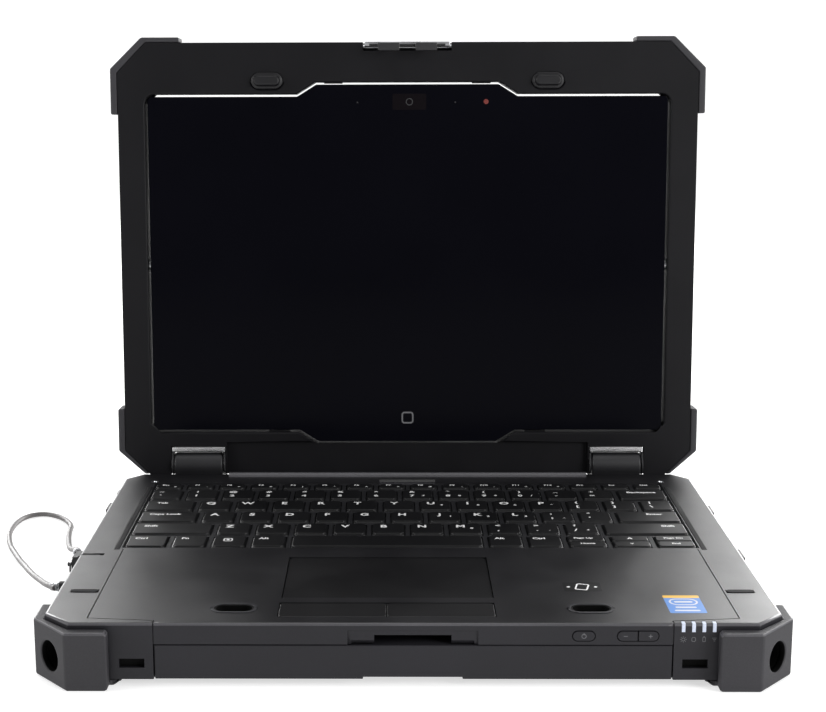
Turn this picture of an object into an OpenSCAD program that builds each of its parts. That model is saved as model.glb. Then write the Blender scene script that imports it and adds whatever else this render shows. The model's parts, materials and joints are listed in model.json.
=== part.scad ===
// Rugged convertible laptop: a shell with corner bumpers, a keyboard base and a lid frame
// in which the screen flips about its middle. Millimetres, X right, Y back, Z up.
// The origin is the centre of the footprint, on the table.

/* [Overall] */
// Width over the corner bumpers
total_w = 310; // [296:1:380]
// Depth of the base, front bumper faces to rear bumper faces
base_d = 232; // [225:1:290]
// How far the bumpers stand out at each side
bumper_side = 5; // [4:0.5:7]
// How far the front bumpers stand out in front of the fascia
bumper_front = 5.4; // [4:0.2:8]
// Lean of the open lid behind upright, in degrees
lid_tilt = 3.3; // [0:0.1:20]
// Wall of the plastic shells
wall = 1.8; // [1.4:0.1:2.4]
// Gap between neighbouring fixed pieces
fit_gap = 0.15; // [0.05:0.05:0.3]
// Gap round pieces that move
move_gap = 0.35; // [0.3:0.05:0.6]
// Radial clearance of a pin in its bore
pin_gap = 0.06; // [0.02:0.01:0.1]

/* [Base] */
// Height of the shell's underside over the table
under_z = 3.1; // [2.5:0.1:5]
// Height of the line between the lower and the upper shell
split_z = 18; // [16:0.2:19]
// Height of the deck
deck_z = 27; // [26:0.1:30]
// Thickness of the deck
deck_t = 2.2; // [1.8:0.1:2.6]
// Height of the front bumpers
bumper_z = 24.6; // [18:0.1:25.5]
// Half width of the battery bay
bay_half = 104.2; // [90:0.5:112]
// Depth of the battery pack
battery_d = 50; // [40:1:55]

/* [Hinge] */
// Height of the hinge axis over the deck
hinge_up = 4.5; // [4.2:0.1:6]
// Distance from the rear bumpers to the hinge axis
hinge_in = 6; // [5.5:0.1:8]
// Radius of the hinge knuckles
knuckle_r = 6.3; // [5.5:0.1:6.6]
// Radius of the hinge pins
hinge_pin_r = 2.5; // [1.5:0.1:3]
// Inner end of a knuckle, from the middle
knuckle_in = 99.2; // [90:0.2:104]
// Length of a knuckle
knuckle_len = 25.8; // [16:0.2:30]

/* [Lid] */
// Thickness of the lid
lid_t = 13; // [12:0.2:16]
// Gap between the closed lid and the deck
lid_shut_gap = 0.6; // [0.4:0.1:1.5]
// Width of the frame's side bars
bar_side = 14.1; // [12:0.1:20]
// Height of the frame's top bar
bar_top = 26.6; // [24:0.1:32]
// Height of the frame's bottom bar
bar_bottom = 22.9; // [22:0.1:30]
// How much the lid bumpers stand out
lid_bumper_out = 3.8; // [2.5:0.1:4.5]

/* [Screen] */
// Thickness of the flipping screen
screen_t = 11; // [9:0.1:12]
// Gap round the screen
screen_gap = 1.2; // [0.8:0.1:2]
// How far the middle of the screen bulges out at its top and bottom
bulge = 6.2; // [3:0.1:8]
// Half width of the flat of the bulge
bulge_half = 47.5; // [30:0.5:60]
// Radius of the screen's pivots
pivot_r = 3; // [2:0.1:3.4]

/* [Keyboard] */
// Key pitch along a row
pitch = 18.4; // [16:0.1:19]
// Pitch of the rows
row_pitch = 18.7; // [16:0.1:19]
// Gap between neighbouring key tops
key_gap = 3.8; // [3:0.1:5]
// Travel of the keys
key_travel = 1.5; // [1:0.1:1.6]
// Width of the backspace and tab keys, in pitches
wide_u = 1.47; // [1.3:0.01:1.8]
// Width of the caps key, in pitches
caps_u = 1.68; // [1.5:0.01:1.9]
// Width of the left shift key, in pitches
shift_u = 2.19; // [2:0.01:2.4]
// Width of the left control key, in pitches
ctrl_u = 1.17; // [1:0.01:1.3]
// Width of the space bar, in pitches
space_u = 4.98; // [4:0.01:5.5]

/* [Touchpad and buttons] */
// Left edge of the touchpad
pad_x = -54.3; // [-70:0.1:-40]
// Width of the touchpad
pad_w = 88.3; // [70:0.1:100]
// Depth of the touchpad
pad_d = 51.2; // [40:0.1:52]
// Depth of the two touchpad buttons
click_d = 15.2; // [10:0.1:16]
// Travel of the touchpad and front buttons
click_travel = 0.6; // [0.3:0.1:1]
// Height of the front buttons
pill_h = 4; // [3:0.1:4.6]

/* [Latch] */
// Width of the latch plate
latch_w = 44.4; // [30:0.2:60]
// Thickness of the latch plate
latch_t = 2.3; // [1.8:0.1:2.6]

/* [Hidden] */
$fn = 48;
over = 1;

shell = [0.13, 0.13, 0.14];
dark = [0.05, 0.05, 0.055];
steel = [0.75, 0.76, 0.78];

// Base
body_half = total_w / 2 - bumper_side;
fascia_y = bumper_front;
rear_y = base_d - 3;
hinge_y = base_d - hinge_in;
hinge_z = deck_z + hinge_up;
deck_back = hinge_y - 5;
deck_under = deck_z - deck_t;
shelf_z = hinge_z - 11;
floor_z = under_z + wall;
front_cut = [11.6, 11.1];
deck_cut = [7.5, 8.2];
rear_cut = [11, 11];
bumper_cut = [15.8, 17.4];
bumper_end_x = total_w / 2 - 32.85;
apron_x = [bay_half + 0.25, bumper_end_x + 2];
bumper_end_y = 34;
foot_z = under_z - fit_gap;
foot_reach = 4.4;

// Lid, in its own frame: y back from the hinge axis, z up the lid
face_y = deck_z + lid_shut_gap - hinge_z;
back_y = face_y + lid_t;
lid_foot = -5;
bumper_top = hinge_y + 0.5;
frame_top = bumper_top - 2.8;
frame_half = total_w / 2 - lid_bumper_out;
frame_seam = back_y - 2.7;
frame_cut = [15, 15.5];
foot_cut = [13, 13];
lid_bumper_cut = [16.4, 16.1];
lid_bumper_foot_cut = [14.2, 12.7];
open_half = frame_half - bar_side;
open_low = lid_foot + bar_bottom;
open_high = frame_top - bar_top;
screen_z = (open_low + open_high) / 2;
screen_y = (face_y + back_y) / 2;
screen_half = open_half - screen_gap;
screen_high = (open_high - open_low) / 2 - screen_gap;
screen_face = screen_y - screen_t / 2;
screen_back = screen_y + screen_t / 2;
bulge_slope = 10;
pocket_r = knuckle_r + 0.7;
pocket_in = knuckle_in - 1.8;
pocket_out = knuckle_in + knuckle_len + 1.8;
ear_t = 1.2;
ear_r = 5.8;
relief_y = face_y + 2.4;
relief_z = 12.6;

// The rear top edge of the leaning lid is the hindmost line of the object
lid_rear = hinge_y + back_y * cos(lid_tilt) + bumper_top * sin(lid_tilt);
mid_y = lid_rear / 2;

// Keyboard
row_u = 13 + wide_u;
kb_w = row_u * pitch - key_gap;
kb_x = -kb_w / 2 + 0.1;
cap_d = row_pitch - key_gap;
short_d = 7.4;
kb_back = deck_back - 17.1;
kb_front = kb_back - 2.2 - short_d - 5 * row_pitch;
well_half = kb_w / 2 + 1.4;
well_front = kb_front - 2.1;
key_top = deck_z + lid_shut_gap - 0.3;
cap_t = 1.7;
skirt_t = 0.8;
skirt_out = 0.5;
// how far the keys stand above the frame between them
key_rise = 1;
cap_z = key_top - cap_t;
plate_top = cap_z - key_travel - 0.1;
plate_t = 0.8;
peg_w = 3.6;
peg_gap = 0.4;
function_u = row_u / 16;
enter_u = row_u - caps_u - 11;
right_shift_u = row_u - shift_u - 10;
arrow_u = (row_u - ctrl_u - 3 - space_u - 2) / 3;
space_start = ctrl_u + 3;
arrow_start = space_start + space_u + 2;
arrow_gap = 0.9;
arrow_d = (cap_d - arrow_gap) / 2;

// Rubber bars and screws beside the keyboard, and the screws of the lower shell
strip_x = [well_half + 0.7, well_half + 3.1];
strip_y = [well_front - 2.4, kb_back - 6.5];
palm_bar_x = [132.7, 144.6];
palm_bar_y = [40.2, 43.8];
deck_screw = [133.5, kb_back + 3.3];
bottom_screw_places = [[-138, 70], [138, 56], [-138, 135], [138, 122], [-60, 222], [0, 222], [60, 222],
    [-138, 213], [138, 213]];
post_x = [-120, -40, 50];
post_y = [112, 206];

// Touchpad
click_y = 13;
pad_y = click_y + click_d + 6.3;
pad_top = deck_z - 0.4;
tray_z = deck_z - 4.8;
tray_t = 0.7;
click_split = pad_x + pad_w / 2;

// Front panel
pill_z = 21.7;
pill_pos = [64, 8.8];
volume_pos = [81.9, 16.3];
flange = 0.8;
pipe_x = 107.4;
pipe_pitch = 4.13;
pipe_w = 1.4;
slot_half = 15.5;
slot_top = 21.8;

// Pegs and sockets that line the closed lid up with the deck
peg_x = 73.2;
peg_z = frame_top - bar_top + 7;
peg_size = [16.8, 8.8];
tongue = [13.6, 5];
cup_size = [18.2, 9.6];
cup_y = hinge_y - peg_z;

// Doors in the side walls
door_low = 8.3;
door_high = 25;
door_t = 1.8;
door_round = door_t / 2;
door_left = [151, 52];
door_right = [148, 56];
door_drive = [61, 43];
tab_w = 12;
tab_out = 2;

// Stylus in its garage in the left side
stylus_r = 2.6;
stylus_y = 64;
stylus_z = 21.2;
stylus_len = 92;
stylus_head = 4.3;
stylus_head_r = 2.1;

// Clip of the tether, at the left edge of the deck
slot_y = [88.2, 90.8];
clip_x = [-body_half - 4.2, -body_half - 0.4];
clip_y = 86.6;
clip_z = deck_z - 6.2;
clip_ring_r = 2.4;

// Latch
latch_y = face_y + 7.5;
latch_z = frame_top - 2.1;
latch_face = face_y + 0.4;
latch_pin_r = 1.2;
latch_eye_r = 1.9;
notch_half = latch_w / 2 + 0.9;
notch_z = frame_top - 4.4;
hook_x = [4.2, 15.2];
hook_reach = 9.3;

// Corner tie-down sockets in the front bumpers
tie_r = 6.3;
tie_z = 11.6;
tie_pocket_r = 5.2;
tie_depth = 7;

// Fan
fan_x = 98;
fan_y = 168;
fan_r = 21;
fan_shaft_r = 1.2;

// Battery latch: a slider under the shell whose tongue enters the back of the battery
latch_x = [-64, -56];
latch_d = 8;
latch_track = fascia_y + battery_d + 10;
latch_travel = 4;
tongue_x = [-63, -57];
tongue_z = [floor_z + 0.4, floor_z + 1.4];

// Tether cord: round points along its route, in the row's frame
cord_r = 1.4;
cord_path = [[-155.9, -61.5, 20.8], [-159, -57, 20], [-163.4, -48.8, 18.3], [-167, -40.4, 16.5],
    [-171, -31, 14.5], [-175.5, -20, 12.2], [-180.3, -8, 10], [-185.3, 5, 7.7], [-190.4, 17.7, 5.6],
    [-195, 29.5, 4], [-199.1, 40.3, 2.6], [-204.2, 53.5, 1.5], [-207.4, 64, 1.4], [-209.6, 74, 1.4],
    [-210.4, 84, 1.4], [-209.9, 94, 1.4], [-207.4, 102, 1.4], [-203, 106.4, 1.4], [-197.6, 107, 1.4],
    [-192.4, 104.6, 1.4], [-187, 99.6, 1.4], [-182.6, 93, 1.4], [-179.4, 85, 1.6], [-178.2, 76, 2.1],
    [-176.4, 65, 3.2], [-173.8, 52, 4.8], [-171, 39.5, 6.8], [-167.8, 27, 9.1], [-163.8, 14, 12.8],
    [-159.8, 1, 17], [-156.6, -10, 20.6], [-154.4, -19.4, 22.4]];

// ---------- shared shapes ----------

module in_base() translate([0, -mid_y, 0]) children();

module in_lid() translate([0, hinge_y - mid_y, hinge_z]) rotate([-lid_tilt, 0, 0]) children();

// Stands a flat outline up, so that it fills y0 to y1 and its own y axis is up
module slab(y0, y1) translate([0, y1, 0]) rotate([90, 0, 0]) linear_extrude(y1 - y0) children();

// Fills x0 to x1 with a profile drawn in y and z
module bar(x0, x1) translate([x0, 0, 0]) rotate([90, 0, 90]) linear_extrude(x1 - x0) children();

module block(x, y, z) translate([x[0], y[0], z[0]]) cube([x[1] - x[0], y[1] - y[0], z[1] - z[0]]);

module both_sides() {
    children();
    mirror([1, 0, 0]) children();
}

// Rectangle with cut corners: low and high are its two pairs of corners
function cut_box(half, y0, y1, low, high) = [
    [-half + low[0], y0], [half - low[0], y0], [half, y0 + low[1]], [half, y1 - high[1]],
    [half - high[0], y1], [-half + high[0], y1], [-half, y1 - high[1]], [-half, y0 + low[1]]];

// The same rectangle drawn in by a distance, with its corners cut in proportion
function cut_in(half, y0, y1, low, high, d) =
    cut_box(half - d, y0 + d, y1 - d, low - [0.586, 0.586] * d, high - [0.586, 0.586] * d);

// Box with small cut corners, round a centre
module pad2d(w, d, c) polygon([[-w / 2 + c, -d / 2], [w / 2 - c, -d / 2], [w / 2, -d / 2 + c],
    [w / 2, d / 2 - c], [w / 2 - c, d / 2], [-w / 2 + c, d / 2], [-w / 2, d / 2 - c],
    [-w / 2, -d / 2 + c]]);

// Long round-ended shape, round a centre
module pill2d(w, h) {
    square([w - h, h], center = true);
    for (side = [-1, 1]) translate([side * (w - h) / 2, 0]) circle(d = h);
}

// ---------- base shells ----------

module lower_outline(d = 0) polygon(cut_in(body_half, fascia_y, rear_y, front_cut, rear_cut, d));

module deck_outline(d = 0) polygon(cut_in(body_half, fascia_y, deck_back, front_cut, deck_cut, d));

// Axis of the right-hand tie-down socket, pointing out of the bumper
module tie_axis() translate([total_w / 2 - bumper_cut[0] / 2, bumper_cut[1] / 2, tie_z])
    rotate([0, 0, -atan2(bumper_cut[0], bumper_cut[1])]) rotate([0, 90, 0]) children();

module door_hole(side, place) translate([side * (body_half - wall / 2), place[0] + place[1] / 2, 0])
    block([-wall / 2 - over, wall / 2 + over], [-place[1] / 2 - move_gap, place[1] / 2 + move_gap],
        [door_low - door_round - move_gap, door_high + move_gap]);

module all_door_holes() {
    door_hole(-1, door_left);
    door_hole(1, door_right);
    door_hole(1, door_drive);
}

module bottom_shell() color(shell) in_base() difference() {
    union() {
        difference() {
            translate([0, 0, under_z]) linear_extrude(split_z - fit_gap - under_z) lower_outline();
            translate([0, 0, floor_z]) linear_extrude(split_z) lower_outline(wall);
        }
        // walls of the battery bay
        block([-bay_half - wall, bay_half + wall], [fascia_y + 0.01, fascia_y + battery_d + wall + fit_gap],
            [under_z + 0.01, split_z - 0.3]);
        // solid corners behind the tie-down sockets
        both_sides() intersection() {
            translate([0, 0, under_z]) linear_extrude(split_z - fit_gap - under_z) lower_outline(0.01);
            block([body_half - 18, body_half], [fascia_y, fascia_y + 18], [under_z, split_z]);
        }
        // posts that carry the mainboard
        for (x = post_x, y = post_y) translate([x, y, floor_z - 0.01]) cylinder(r = 3, h = 3.1);
    }
    block([-bay_half, bay_half], [fascia_y - over, fascia_y + battery_d + fit_gap],
        [under_z - over, split_z]);
    all_door_holes();
    // room for the front panels of the top cover
    both_sides() block([bay_half - over, apron_x[1] + fit_gap], [fascia_y - over, fascia_y + wall + fit_gap],
        [under_z - over, split_z + over]);
    // the tie-down pockets
    both_sides() tie_axis() {
        translate([0, 0, -tie_depth - 4]) cylinder(r = tie_pocket_r, h = 20);
        translate([0, 0, -tie_depth]) cylinder(r = tie_r + 0.3, h = 20);
    }
    // air slots at the back, over the fins
    for (i = [0:9]) block([74 + i * 5, 77 + i * 5], [rear_y - wall - over, rear_y + over], [7, 14]);
    // air inlet under the fan
    for (i = [-3:3]) translate([fan_x + i * 5, fan_y, 0])
        block([-1.2, 1.2], [-15, 15], [under_z - over, floor_z + over]);
    // track of the battery latch, and the slot for its tongue
    block(latch_x + [-move_gap, move_gap],
        [latch_track - move_gap, latch_track + latch_d + latch_travel + move_gap],
        [under_z - over, floor_z + 0.2]);
    block(tongue_x + [-move_gap, move_gap], [fascia_y + battery_d, latch_track],
        [floor_z, tongue_z[1] + move_gap]);
    for (p = bottom_screw_places) translate([p[0], p[1], under_z - over]) cylinder(r = 1.6, h = 6);
    for (p = bottom_screw_places) translate([p[0], p[1], under_z - over]) cylinder(r = 3.3, h = over + 1);
}

module deck_seams() {
    both_sides() {
        block([131.25, 131.75], [10.7, well_front - 2], [deck_z - 0.5, deck_z + over]);
        translate([bay_half, 8, deck_z - 0.5]) rotate([0, 0, atan2(2.7, 131.5 - bay_half)])
            cube([norm([2.7, 131.5 - bay_half]), 0.5, 2]);
        block([bay_half - 0.25, bay_half + 0.25], [fascia_y - over, fascia_y + 0.5],
            [split_z - over, deck_z + over]);
        block([bay_half - 0.25, bay_half + 0.25], [fascia_y - over, 8.2], [deck_z - 0.5, deck_z + over]);
        // beds of the rubber strips and bars
        block([strip_x[0] - 0.1, strip_x[1] + 0.1], strip_y + [-0.1, 0.1], [deck_z - 0.8, deck_z + over]);
        block(palm_bar_x + [-0.1, 0.1], palm_bar_y + [-0.1, 0.1], [deck_z - 0.8, deck_z + over]);
        translate([deck_screw[0], deck_screw[1], deck_z - 1.2]) cylinder(r = 2.3, h = 3);
        translate([deck_screw[0], deck_screw[1], deck_under - over]) cylinder(r = 1.3, h = 5);
    }
}

module top_cover() color(shell) in_base() difference() {
    union() {
        difference() {
            union() {
                translate([0, 0, split_z]) linear_extrude(deck_z - split_z) deck_outline();
                translate([0, 0, split_z]) linear_extrude(shelf_z - split_z) lower_outline();
            }
            translate([0, 0, split_z - over]) linear_extrude(deck_under - split_z + over) deck_outline(wall);
            translate([0, 0, split_z - over]) linear_extrude(shelf_z - wall - split_z + over)
                lower_outline(wall);
        }
        // the ridge between the hinges
        translate([0, deck_back, deck_z]) bar(-pocket_in + 2, pocket_in - 2)
            polygon([[-6, -over], [-4.9, 1.5], [-3.7, 2], [-1.6, 2], [-0.7, 1.2], [-0.7, -over]]);
        // front panels that run down beside the battery
        both_sides() block(apron_x, [fascia_y, fascia_y + wall], [under_z + 0.01, split_z + over]);
        // upstands behind the deck, under the lid's lower corners
        both_sides() block([pocket_out + 0.5, 144], [deck_back - over, deck_back + 2],
            [shelf_z - 0.01, deck_z - 1.4]);
        // two guides for the stylus
        for (x = [-116, -70]) translate([x, stylus_y, 0])
            block([0, 6], [-5, 5], [stylus_z - 3.1, deck_under + 0.1]);
    }
    // speaker slots
    both_sides() block([108, 118.3], [fascia_y - over, fascia_y + wall + over], [8, 11.85]);
    // wells of the keyboard, the touchpad and its buttons
    block([-well_half, well_half], [well_front, kb_back], [deck_under - over, deck_z + over]);
    block([-14.8, 14.8], [kb_back - over, kb_back + 7], [deck_z - 1.4, deck_z + over]);
    block([pad_x - 0.3, pad_x + pad_w + 0.3], [pad_y - 0.3, pad_y + pad_d + 0.3],
        [deck_under - over, deck_z + over]);
    block([pad_x - move_gap - 0.3, pad_x + pad_w + move_gap - 0.3],
        [click_y - move_gap, click_y + click_d + move_gap], [deck_under - over, deck_z + over]);
    // oval sockets
    for (side = [-1, 1]) translate([side * peg_x, cup_y, deck_under - over]) linear_extrude(5)
        pill2d(cup_size[0] + 0.2, cup_size[1] + 0.2);
    deck_seams();
    all_door_holes();
    // slot for the tether at the left edge
    block([-body_half - over, -body_half + 11], slot_y, [deck_z - 1.3, deck_z + over]);
    translate([-body_half - over, stylus_y, stylus_z]) rotate([0, 90, 0])
        cylinder(r = stylus_r + 0.1, h = stylus_len + 4);
    // front panel: pills, light pipes and the slot that takes the latch
    translate([0, 0, pill_z]) slab(fascia_y - over, fascia_y + wall + over)
        for (p = [pill_pos, volume_pos]) translate([p[0] + p[1] / 2, 0])
            pill2d(p[1] + 2 * move_gap, pill_h + 2 * move_gap);
    for (i = [0:3]) block([pipe_x + i * pipe_pitch - 0.1, pipe_x + i * pipe_pitch + pipe_w + 0.1],
        [fascia_y - over, fascia_y + wall + over], [deck_z - 3.7, deck_z + over]);
    block([-slot_half, slot_half], [fascia_y - over, fascia_y + wall + over], [split_z - over, slot_top]);
    block([-24.7, 24.7], [fascia_y - over, fascia_y + 1.2], [split_z - over, split_z + 1.6]);
    block([-26.2, 26.2], [fascia_y - over, fascia_y + 0.6], [split_z - over, deck_z - 3]);
}

// ---------- bumpers of the base ----------

module front_bumper() difference() {
    union() {
        hull() {
            linear_extrude(bumper_z) front_bumper_outline(1);
            translate([0, 0, 1.2]) linear_extrude(bumper_z - 2.4) front_bumper_outline(0);
        }
        // foot under the shell
        slab(6, 18) polygon([[bumper_end_x + 6, 0], [bumper_end_x - foot_reach + 3, 0],
            [bumper_end_x - foot_reach, 2.4], [bumper_end_x - foot_reach, foot_z],
            [bumper_end_x + 6, foot_z]]);
    }
    translate([0, 0, foot_z]) linear_extrude(bumper_z) lower_outline(-fit_gap);
    tie_axis() translate([0, 0, -12]) cylinder(r = tie_r, h = 24);
}

// d draws the ends of the outer faces in, for the bevels
module front_bumper_outline(d) polygon([
    [bumper_end_x + d, 0], [total_w / 2 - bumper_cut[0] - 0.4 * d, 0],
    [total_w / 2, bumper_cut[1] + 0.4 * d], [total_w / 2, bumper_end_y - d],
    [bumper_end_x + 8, bumper_end_y - d], [bumper_end_x + d, bumper_end_y - 8]]);

module front_bumper_left() color(dark) in_base() mirror([1, 0, 0]) front_bumper();

module front_bumper_right() color(dark) in_base() front_bumper();

module rear_bumpers() color(dark) in_base() both_sides() difference() {
    linear_extrude(shelf_z - 1) polygon([[body_half - 20, rear_y - 16], [body_half - 2, rear_y - 18],
        [total_w / 2, rear_y - 18], [total_w / 2, base_d - rear_cut[1] - 3],
        [total_w / 2 - rear_cut[0] - 3, base_d], [body_half - 20, base_d]]);
    translate([0, 0, foot_z]) linear_extrude(shelf_z) lower_outline(-fit_gap);
}

// ---------- pieces fixed in the base ----------

module keyboard_plate() color([0.1, 0.1, 0.11]) in_base() difference() {
    block([-well_half - 2, well_half + 2], [well_front - 2, kb_back + 2],
        [plate_top - plate_t, deck_under - 0.05]);
    block([-well_half, well_half], [well_front, kb_back], [plate_top, deck_z]);
    for (k = all_keys) translate([key_mid(k)[0], key_mid(k)[1], plate_top - plate_t - over])
        linear_extrude(4) square(peg_w + 2 * peg_gap, center = true);
}

module touchpad() color([0.08, 0.08, 0.085]) in_base() {
    translate([pad_x + pad_w / 2, pad_y + pad_d / 2, deck_under + 0.3])
        linear_extrude(pad_top - deck_under - 0.3) pad2d(pad_w, pad_d, 1.5);
    block([pad_x + 4, pad_x + pad_w - 4], [pad_y + 3, pad_y + pad_d - 3], [tray_z, deck_under + 0.4]);
    block([pad_x + 1, pad_x + pad_w - 1], [click_y - 1, pad_y + pad_d - 3], [tray_z - tray_t, tray_z + 0.01]);
}

module battery_pack() color(shell) in_base() difference() {
    block([-bay_half + 0.3, bay_half - 0.3], [fascia_y, fascia_y + battery_d - 0.2],
        [under_z + 0.1, split_z - 0.4]);
    // finger groove under the front edge
    block([-20, 20], [fascia_y - over, fascia_y + 2], [under_z - over, under_z + 1.2]);
    // notch that takes the tongue of the battery latch
    block(tongue_x + [-move_gap, move_gap], [fascia_y + battery_d - 3.4, fascia_y + battery_d + over],
        tongue_z + [-move_gap, move_gap]);
}

module mainboard() color([0.05, 0.25, 0.12]) in_base() {
    difference() {
        block([-130, 60], [106, 212], [floor_z + 3.2, floor_z + 4.6]);
        for (x = post_x, y = post_y) translate([x, y, floor_z]) cylinder(r = 1.2, h = 9);
    }
    block([10, 46], [150, 186], [floor_z + 4.59, floor_z + 6.4]);
    block([-60, -30], [140, 170], [floor_z + 4.59, floor_z + 6.2]);
    block([-110, -40], [180, 200], [floor_z + 4.59, floor_z + 8.2]);
}

module fan_housing() color([0.1, 0.1, 0.11]) in_base() difference() {
    block([fan_x - 28, fan_x + 28], [fan_y - 28, fan_y + 28], [floor_z + 0.3, floor_z + 10]);
    translate([fan_x, fan_y, floor_z + 1.5]) cylinder(r = fan_r + 1.5, h = 7.2);
    translate([fan_x, fan_y, floor_z + 5]) cylinder(r = fan_r - 4, h = 9);
    block([fan_x - 20, fan_x + 20], [fan_y + 4, fan_y + 28 + over], [floor_z + 1.5, floor_z + 8.7]);
    // air inlet ring, crossed by spokes that carry the bearing
    translate([fan_x, fan_y, floor_z - over]) difference() {
        cylinder(r = 16, h = 4);
        cylinder(r = 8, h = 4);
        translate([-17, -1.5, -over]) cube([34, 3, 6]);
        translate([-1.5, -17, -over]) cube([3, 34, 6]);
    }
    translate([fan_x, fan_y, floor_z - over]) cylinder(r = fan_shaft_r + pin_gap, h = 4);
}

module fan_rotor() color([0.2, 0.2, 0.22]) in_base() translate([fan_x, fan_y, floor_z + 2]) {
    cylinder(r = 8, h = 6.2);
    translate([0, 0, -1.4]) cylinder(r = fan_shaft_r, h = 1.5);
    for (a = [0:24:359]) rotate([0, 0, a]) translate([7.5, -0.4, 0.6]) cube([fan_r - 7.5, 0.8, 5]);
}

module heatsink() color([0.72, 0.45, 0.3]) in_base() {
    block([12, 44], [152, 184], [floor_z + 6.5, floor_z + 8]);
    block([40, 66], [166, 172], [floor_z + 6.6, floor_z + 9.4]);
    block([60, 66.5], [166, fan_y + 44], [floor_z + 6.6, floor_z + 9.4]);
    block([60, 126], [fan_y + 32, fan_y + 38], [floor_z + 6.6, floor_z + 9.4]);
    for (i = [0:15]) translate([73 + i * 3.4, 0, 0])
        block([0, 1], [fan_y + 30, rear_y - wall - 6], [floor_z + 1, floor_z + 9.5]);
}

module storage_drive() color([0.5, 0.52, 0.55]) in_base() {
    block([66, body_half - wall - 4], [door_drive[0] + 4, door_drive[0] + 38],
        [floor_z + 1.2, floor_z + 8.2]);
    block([body_half - wall - 5, body_half - wall - 1.5], [door_drive[0] + 8, door_drive[0] + 34],
        [floor_z + 2, floor_z + 6]);
}

module speakers() color(dark) in_base() both_sides()
    block([bay_half + wall + 0.4, bay_half + 21], [fascia_y + wall + 0.4, fascia_y + 38],
        [floor_z + 0.2, split_z - 3]);

// A block of three sockets behind the right-hand wall, seen through a door
module socket_block(place, pitch_y, opening) difference() {
    block([body_half - 14, body_half - wall - 0.6], [place[0] + 4, place[0] + place[1] - 4],
        [floor_z + 5, split_z - 1]);
    for (i = [0:2]) translate([0, place[0] + 7 + i * pitch_y, 0])
        block([body_half - 12, body_half], [0, opening], [floor_z + 6.6, split_z - 2.4]);
}

module port_sockets() color(steel) in_base() {
    mirror([1, 0, 0]) socket_block(door_left, 14, 12);
    socket_block(door_right, 15, 13);
}

module light_pipes() color(steel) in_base() for (i = [0:3])
    translate([pipe_x + i * pipe_pitch, 0, 0])
        block([0, pipe_w], [fascia_y, fascia_y + wall + 0.6], [deck_z - 3.6, deck_z]);

module deck_rubbers() color(dark) in_base() both_sides() {
    block(strip_x, strip_y, [deck_z - 0.8, deck_z + 0.1]);
    translate([palm_bar_x[0] + palm_bar_x[1], palm_bar_y[0] + palm_bar_y[1], 2 * deck_z - 1.6] / 2)
        linear_extrude(1.1) pill2d(palm_bar_x[1] - palm_bar_x[0], palm_bar_y[1] - palm_bar_y[0]);
}

module peg_sockets() color(dark) in_base() both_sides() translate([peg_x, cup_y, deck_z]) difference() {
    translate([0, 0, -5]) linear_extrude(5) pill2d(cup_size[0], cup_size[1]);
    translate([0, 0, -4.2]) linear_extrude(6) pill2d(cup_size[0] - 3, cup_size[1] - 3);
}

module deck_screws() color(steel) in_base() both_sides() translate([deck_screw[0], deck_screw[1], 0]) {
    translate([0, 0, deck_z - 1.2]) cylinder(r = 2.1, h = 1);
    translate([0, 0, deck_under - 2]) cylinder(r = 1.2, h = deck_t + 1);
}

module bottom_screws() color(steel) in_base() for (p = bottom_screw_places) translate([p[0], p[1], 0]) {
    translate([0, 0, under_z + 0.1]) cylinder(r = 3, h = 0.9 - 0.1);
    translate([0, 0, under_z + 0.8]) cylinder(r = 1.5, h = 3.6);
}

module hinge_knuckles() color(dark) in_base() both_sides() difference() {
    union() {
        translate([knuckle_in, hinge_y, hinge_z]) rotate([0, 90, 0]) cylinder(r = knuckle_r, h = knuckle_len);
        block([knuckle_in, knuckle_in + knuckle_len], [deck_back + 0.3, hinge_y + 4.4],
            [shelf_z + 0.02, hinge_z]);
    }
    translate([knuckle_in - over, hinge_y, hinge_z]) rotate([0, 90, 0])
        cylinder(r = hinge_pin_r + pin_gap, h = knuckle_len + 2 * over);
}

// ---------- buttons ----------

// One front button: x0 to x1, with a round or a square end on each side
module front_button(x0, x1, round_left, round_right) {
    translate([0, 0, pill_z]) {
        slab(fascia_y - 0.3, fascia_y + wall + 0.3) {
            translate([x0 + pill_h / 2, -pill_h / 2]) square([x1 - x0 - pill_h, pill_h]);
            if (round_left) translate([x0 + pill_h / 2, 0]) circle(d = pill_h);
            else translate([x0, -pill_h / 2]) square([pill_h, pill_h]);
            if (round_right) translate([x1 - pill_h / 2, 0]) circle(d = pill_h);
            else translate([x1 - pill_h, -pill_h / 2]) square([pill_h, pill_h]);
        }
        block([x0 - (round_left ? flange : 0), x1 + (round_right ? flange : 0)],
            [fascia_y + wall + 0.25, fascia_y + wall + 1.4], [-pill_h / 2 - 0.7, pill_h / 2 + 0.7]);
    }
}

module power_button() color(shell) in_base()
    front_button(pill_pos[0], pill_pos[0] + pill_pos[1], true, true);

module volume_down() color(shell) in_base()
    front_button(volume_pos[0], volume_pos[0] + volume_pos[1] / 2 - 0.2, true, false);

module volume_up() color(shell) in_base()
    front_button(volume_pos[0] + volume_pos[1] / 2 + 0.2, volume_pos[0] + volume_pos[1], false, true);

module touch_button(x0, x1) translate([(x0 + x1) / 2, click_y + click_d / 2, tray_z + click_travel + 0.2])
    linear_extrude(deck_z - 0.1 - tray_z - click_travel - 0.2) pad2d(x1 - x0, click_d, 1);

module touch_button_left() color([0.07, 0.07, 0.075]) in_base() touch_button(pad_x - 0.3, click_split - 0.5);

module touch_button_right() color([0.07, 0.07, 0.075]) in_base()
    touch_button(click_split - 0.1, pad_x + pad_w - 0.3);

// ---------- keyboard ----------

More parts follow.
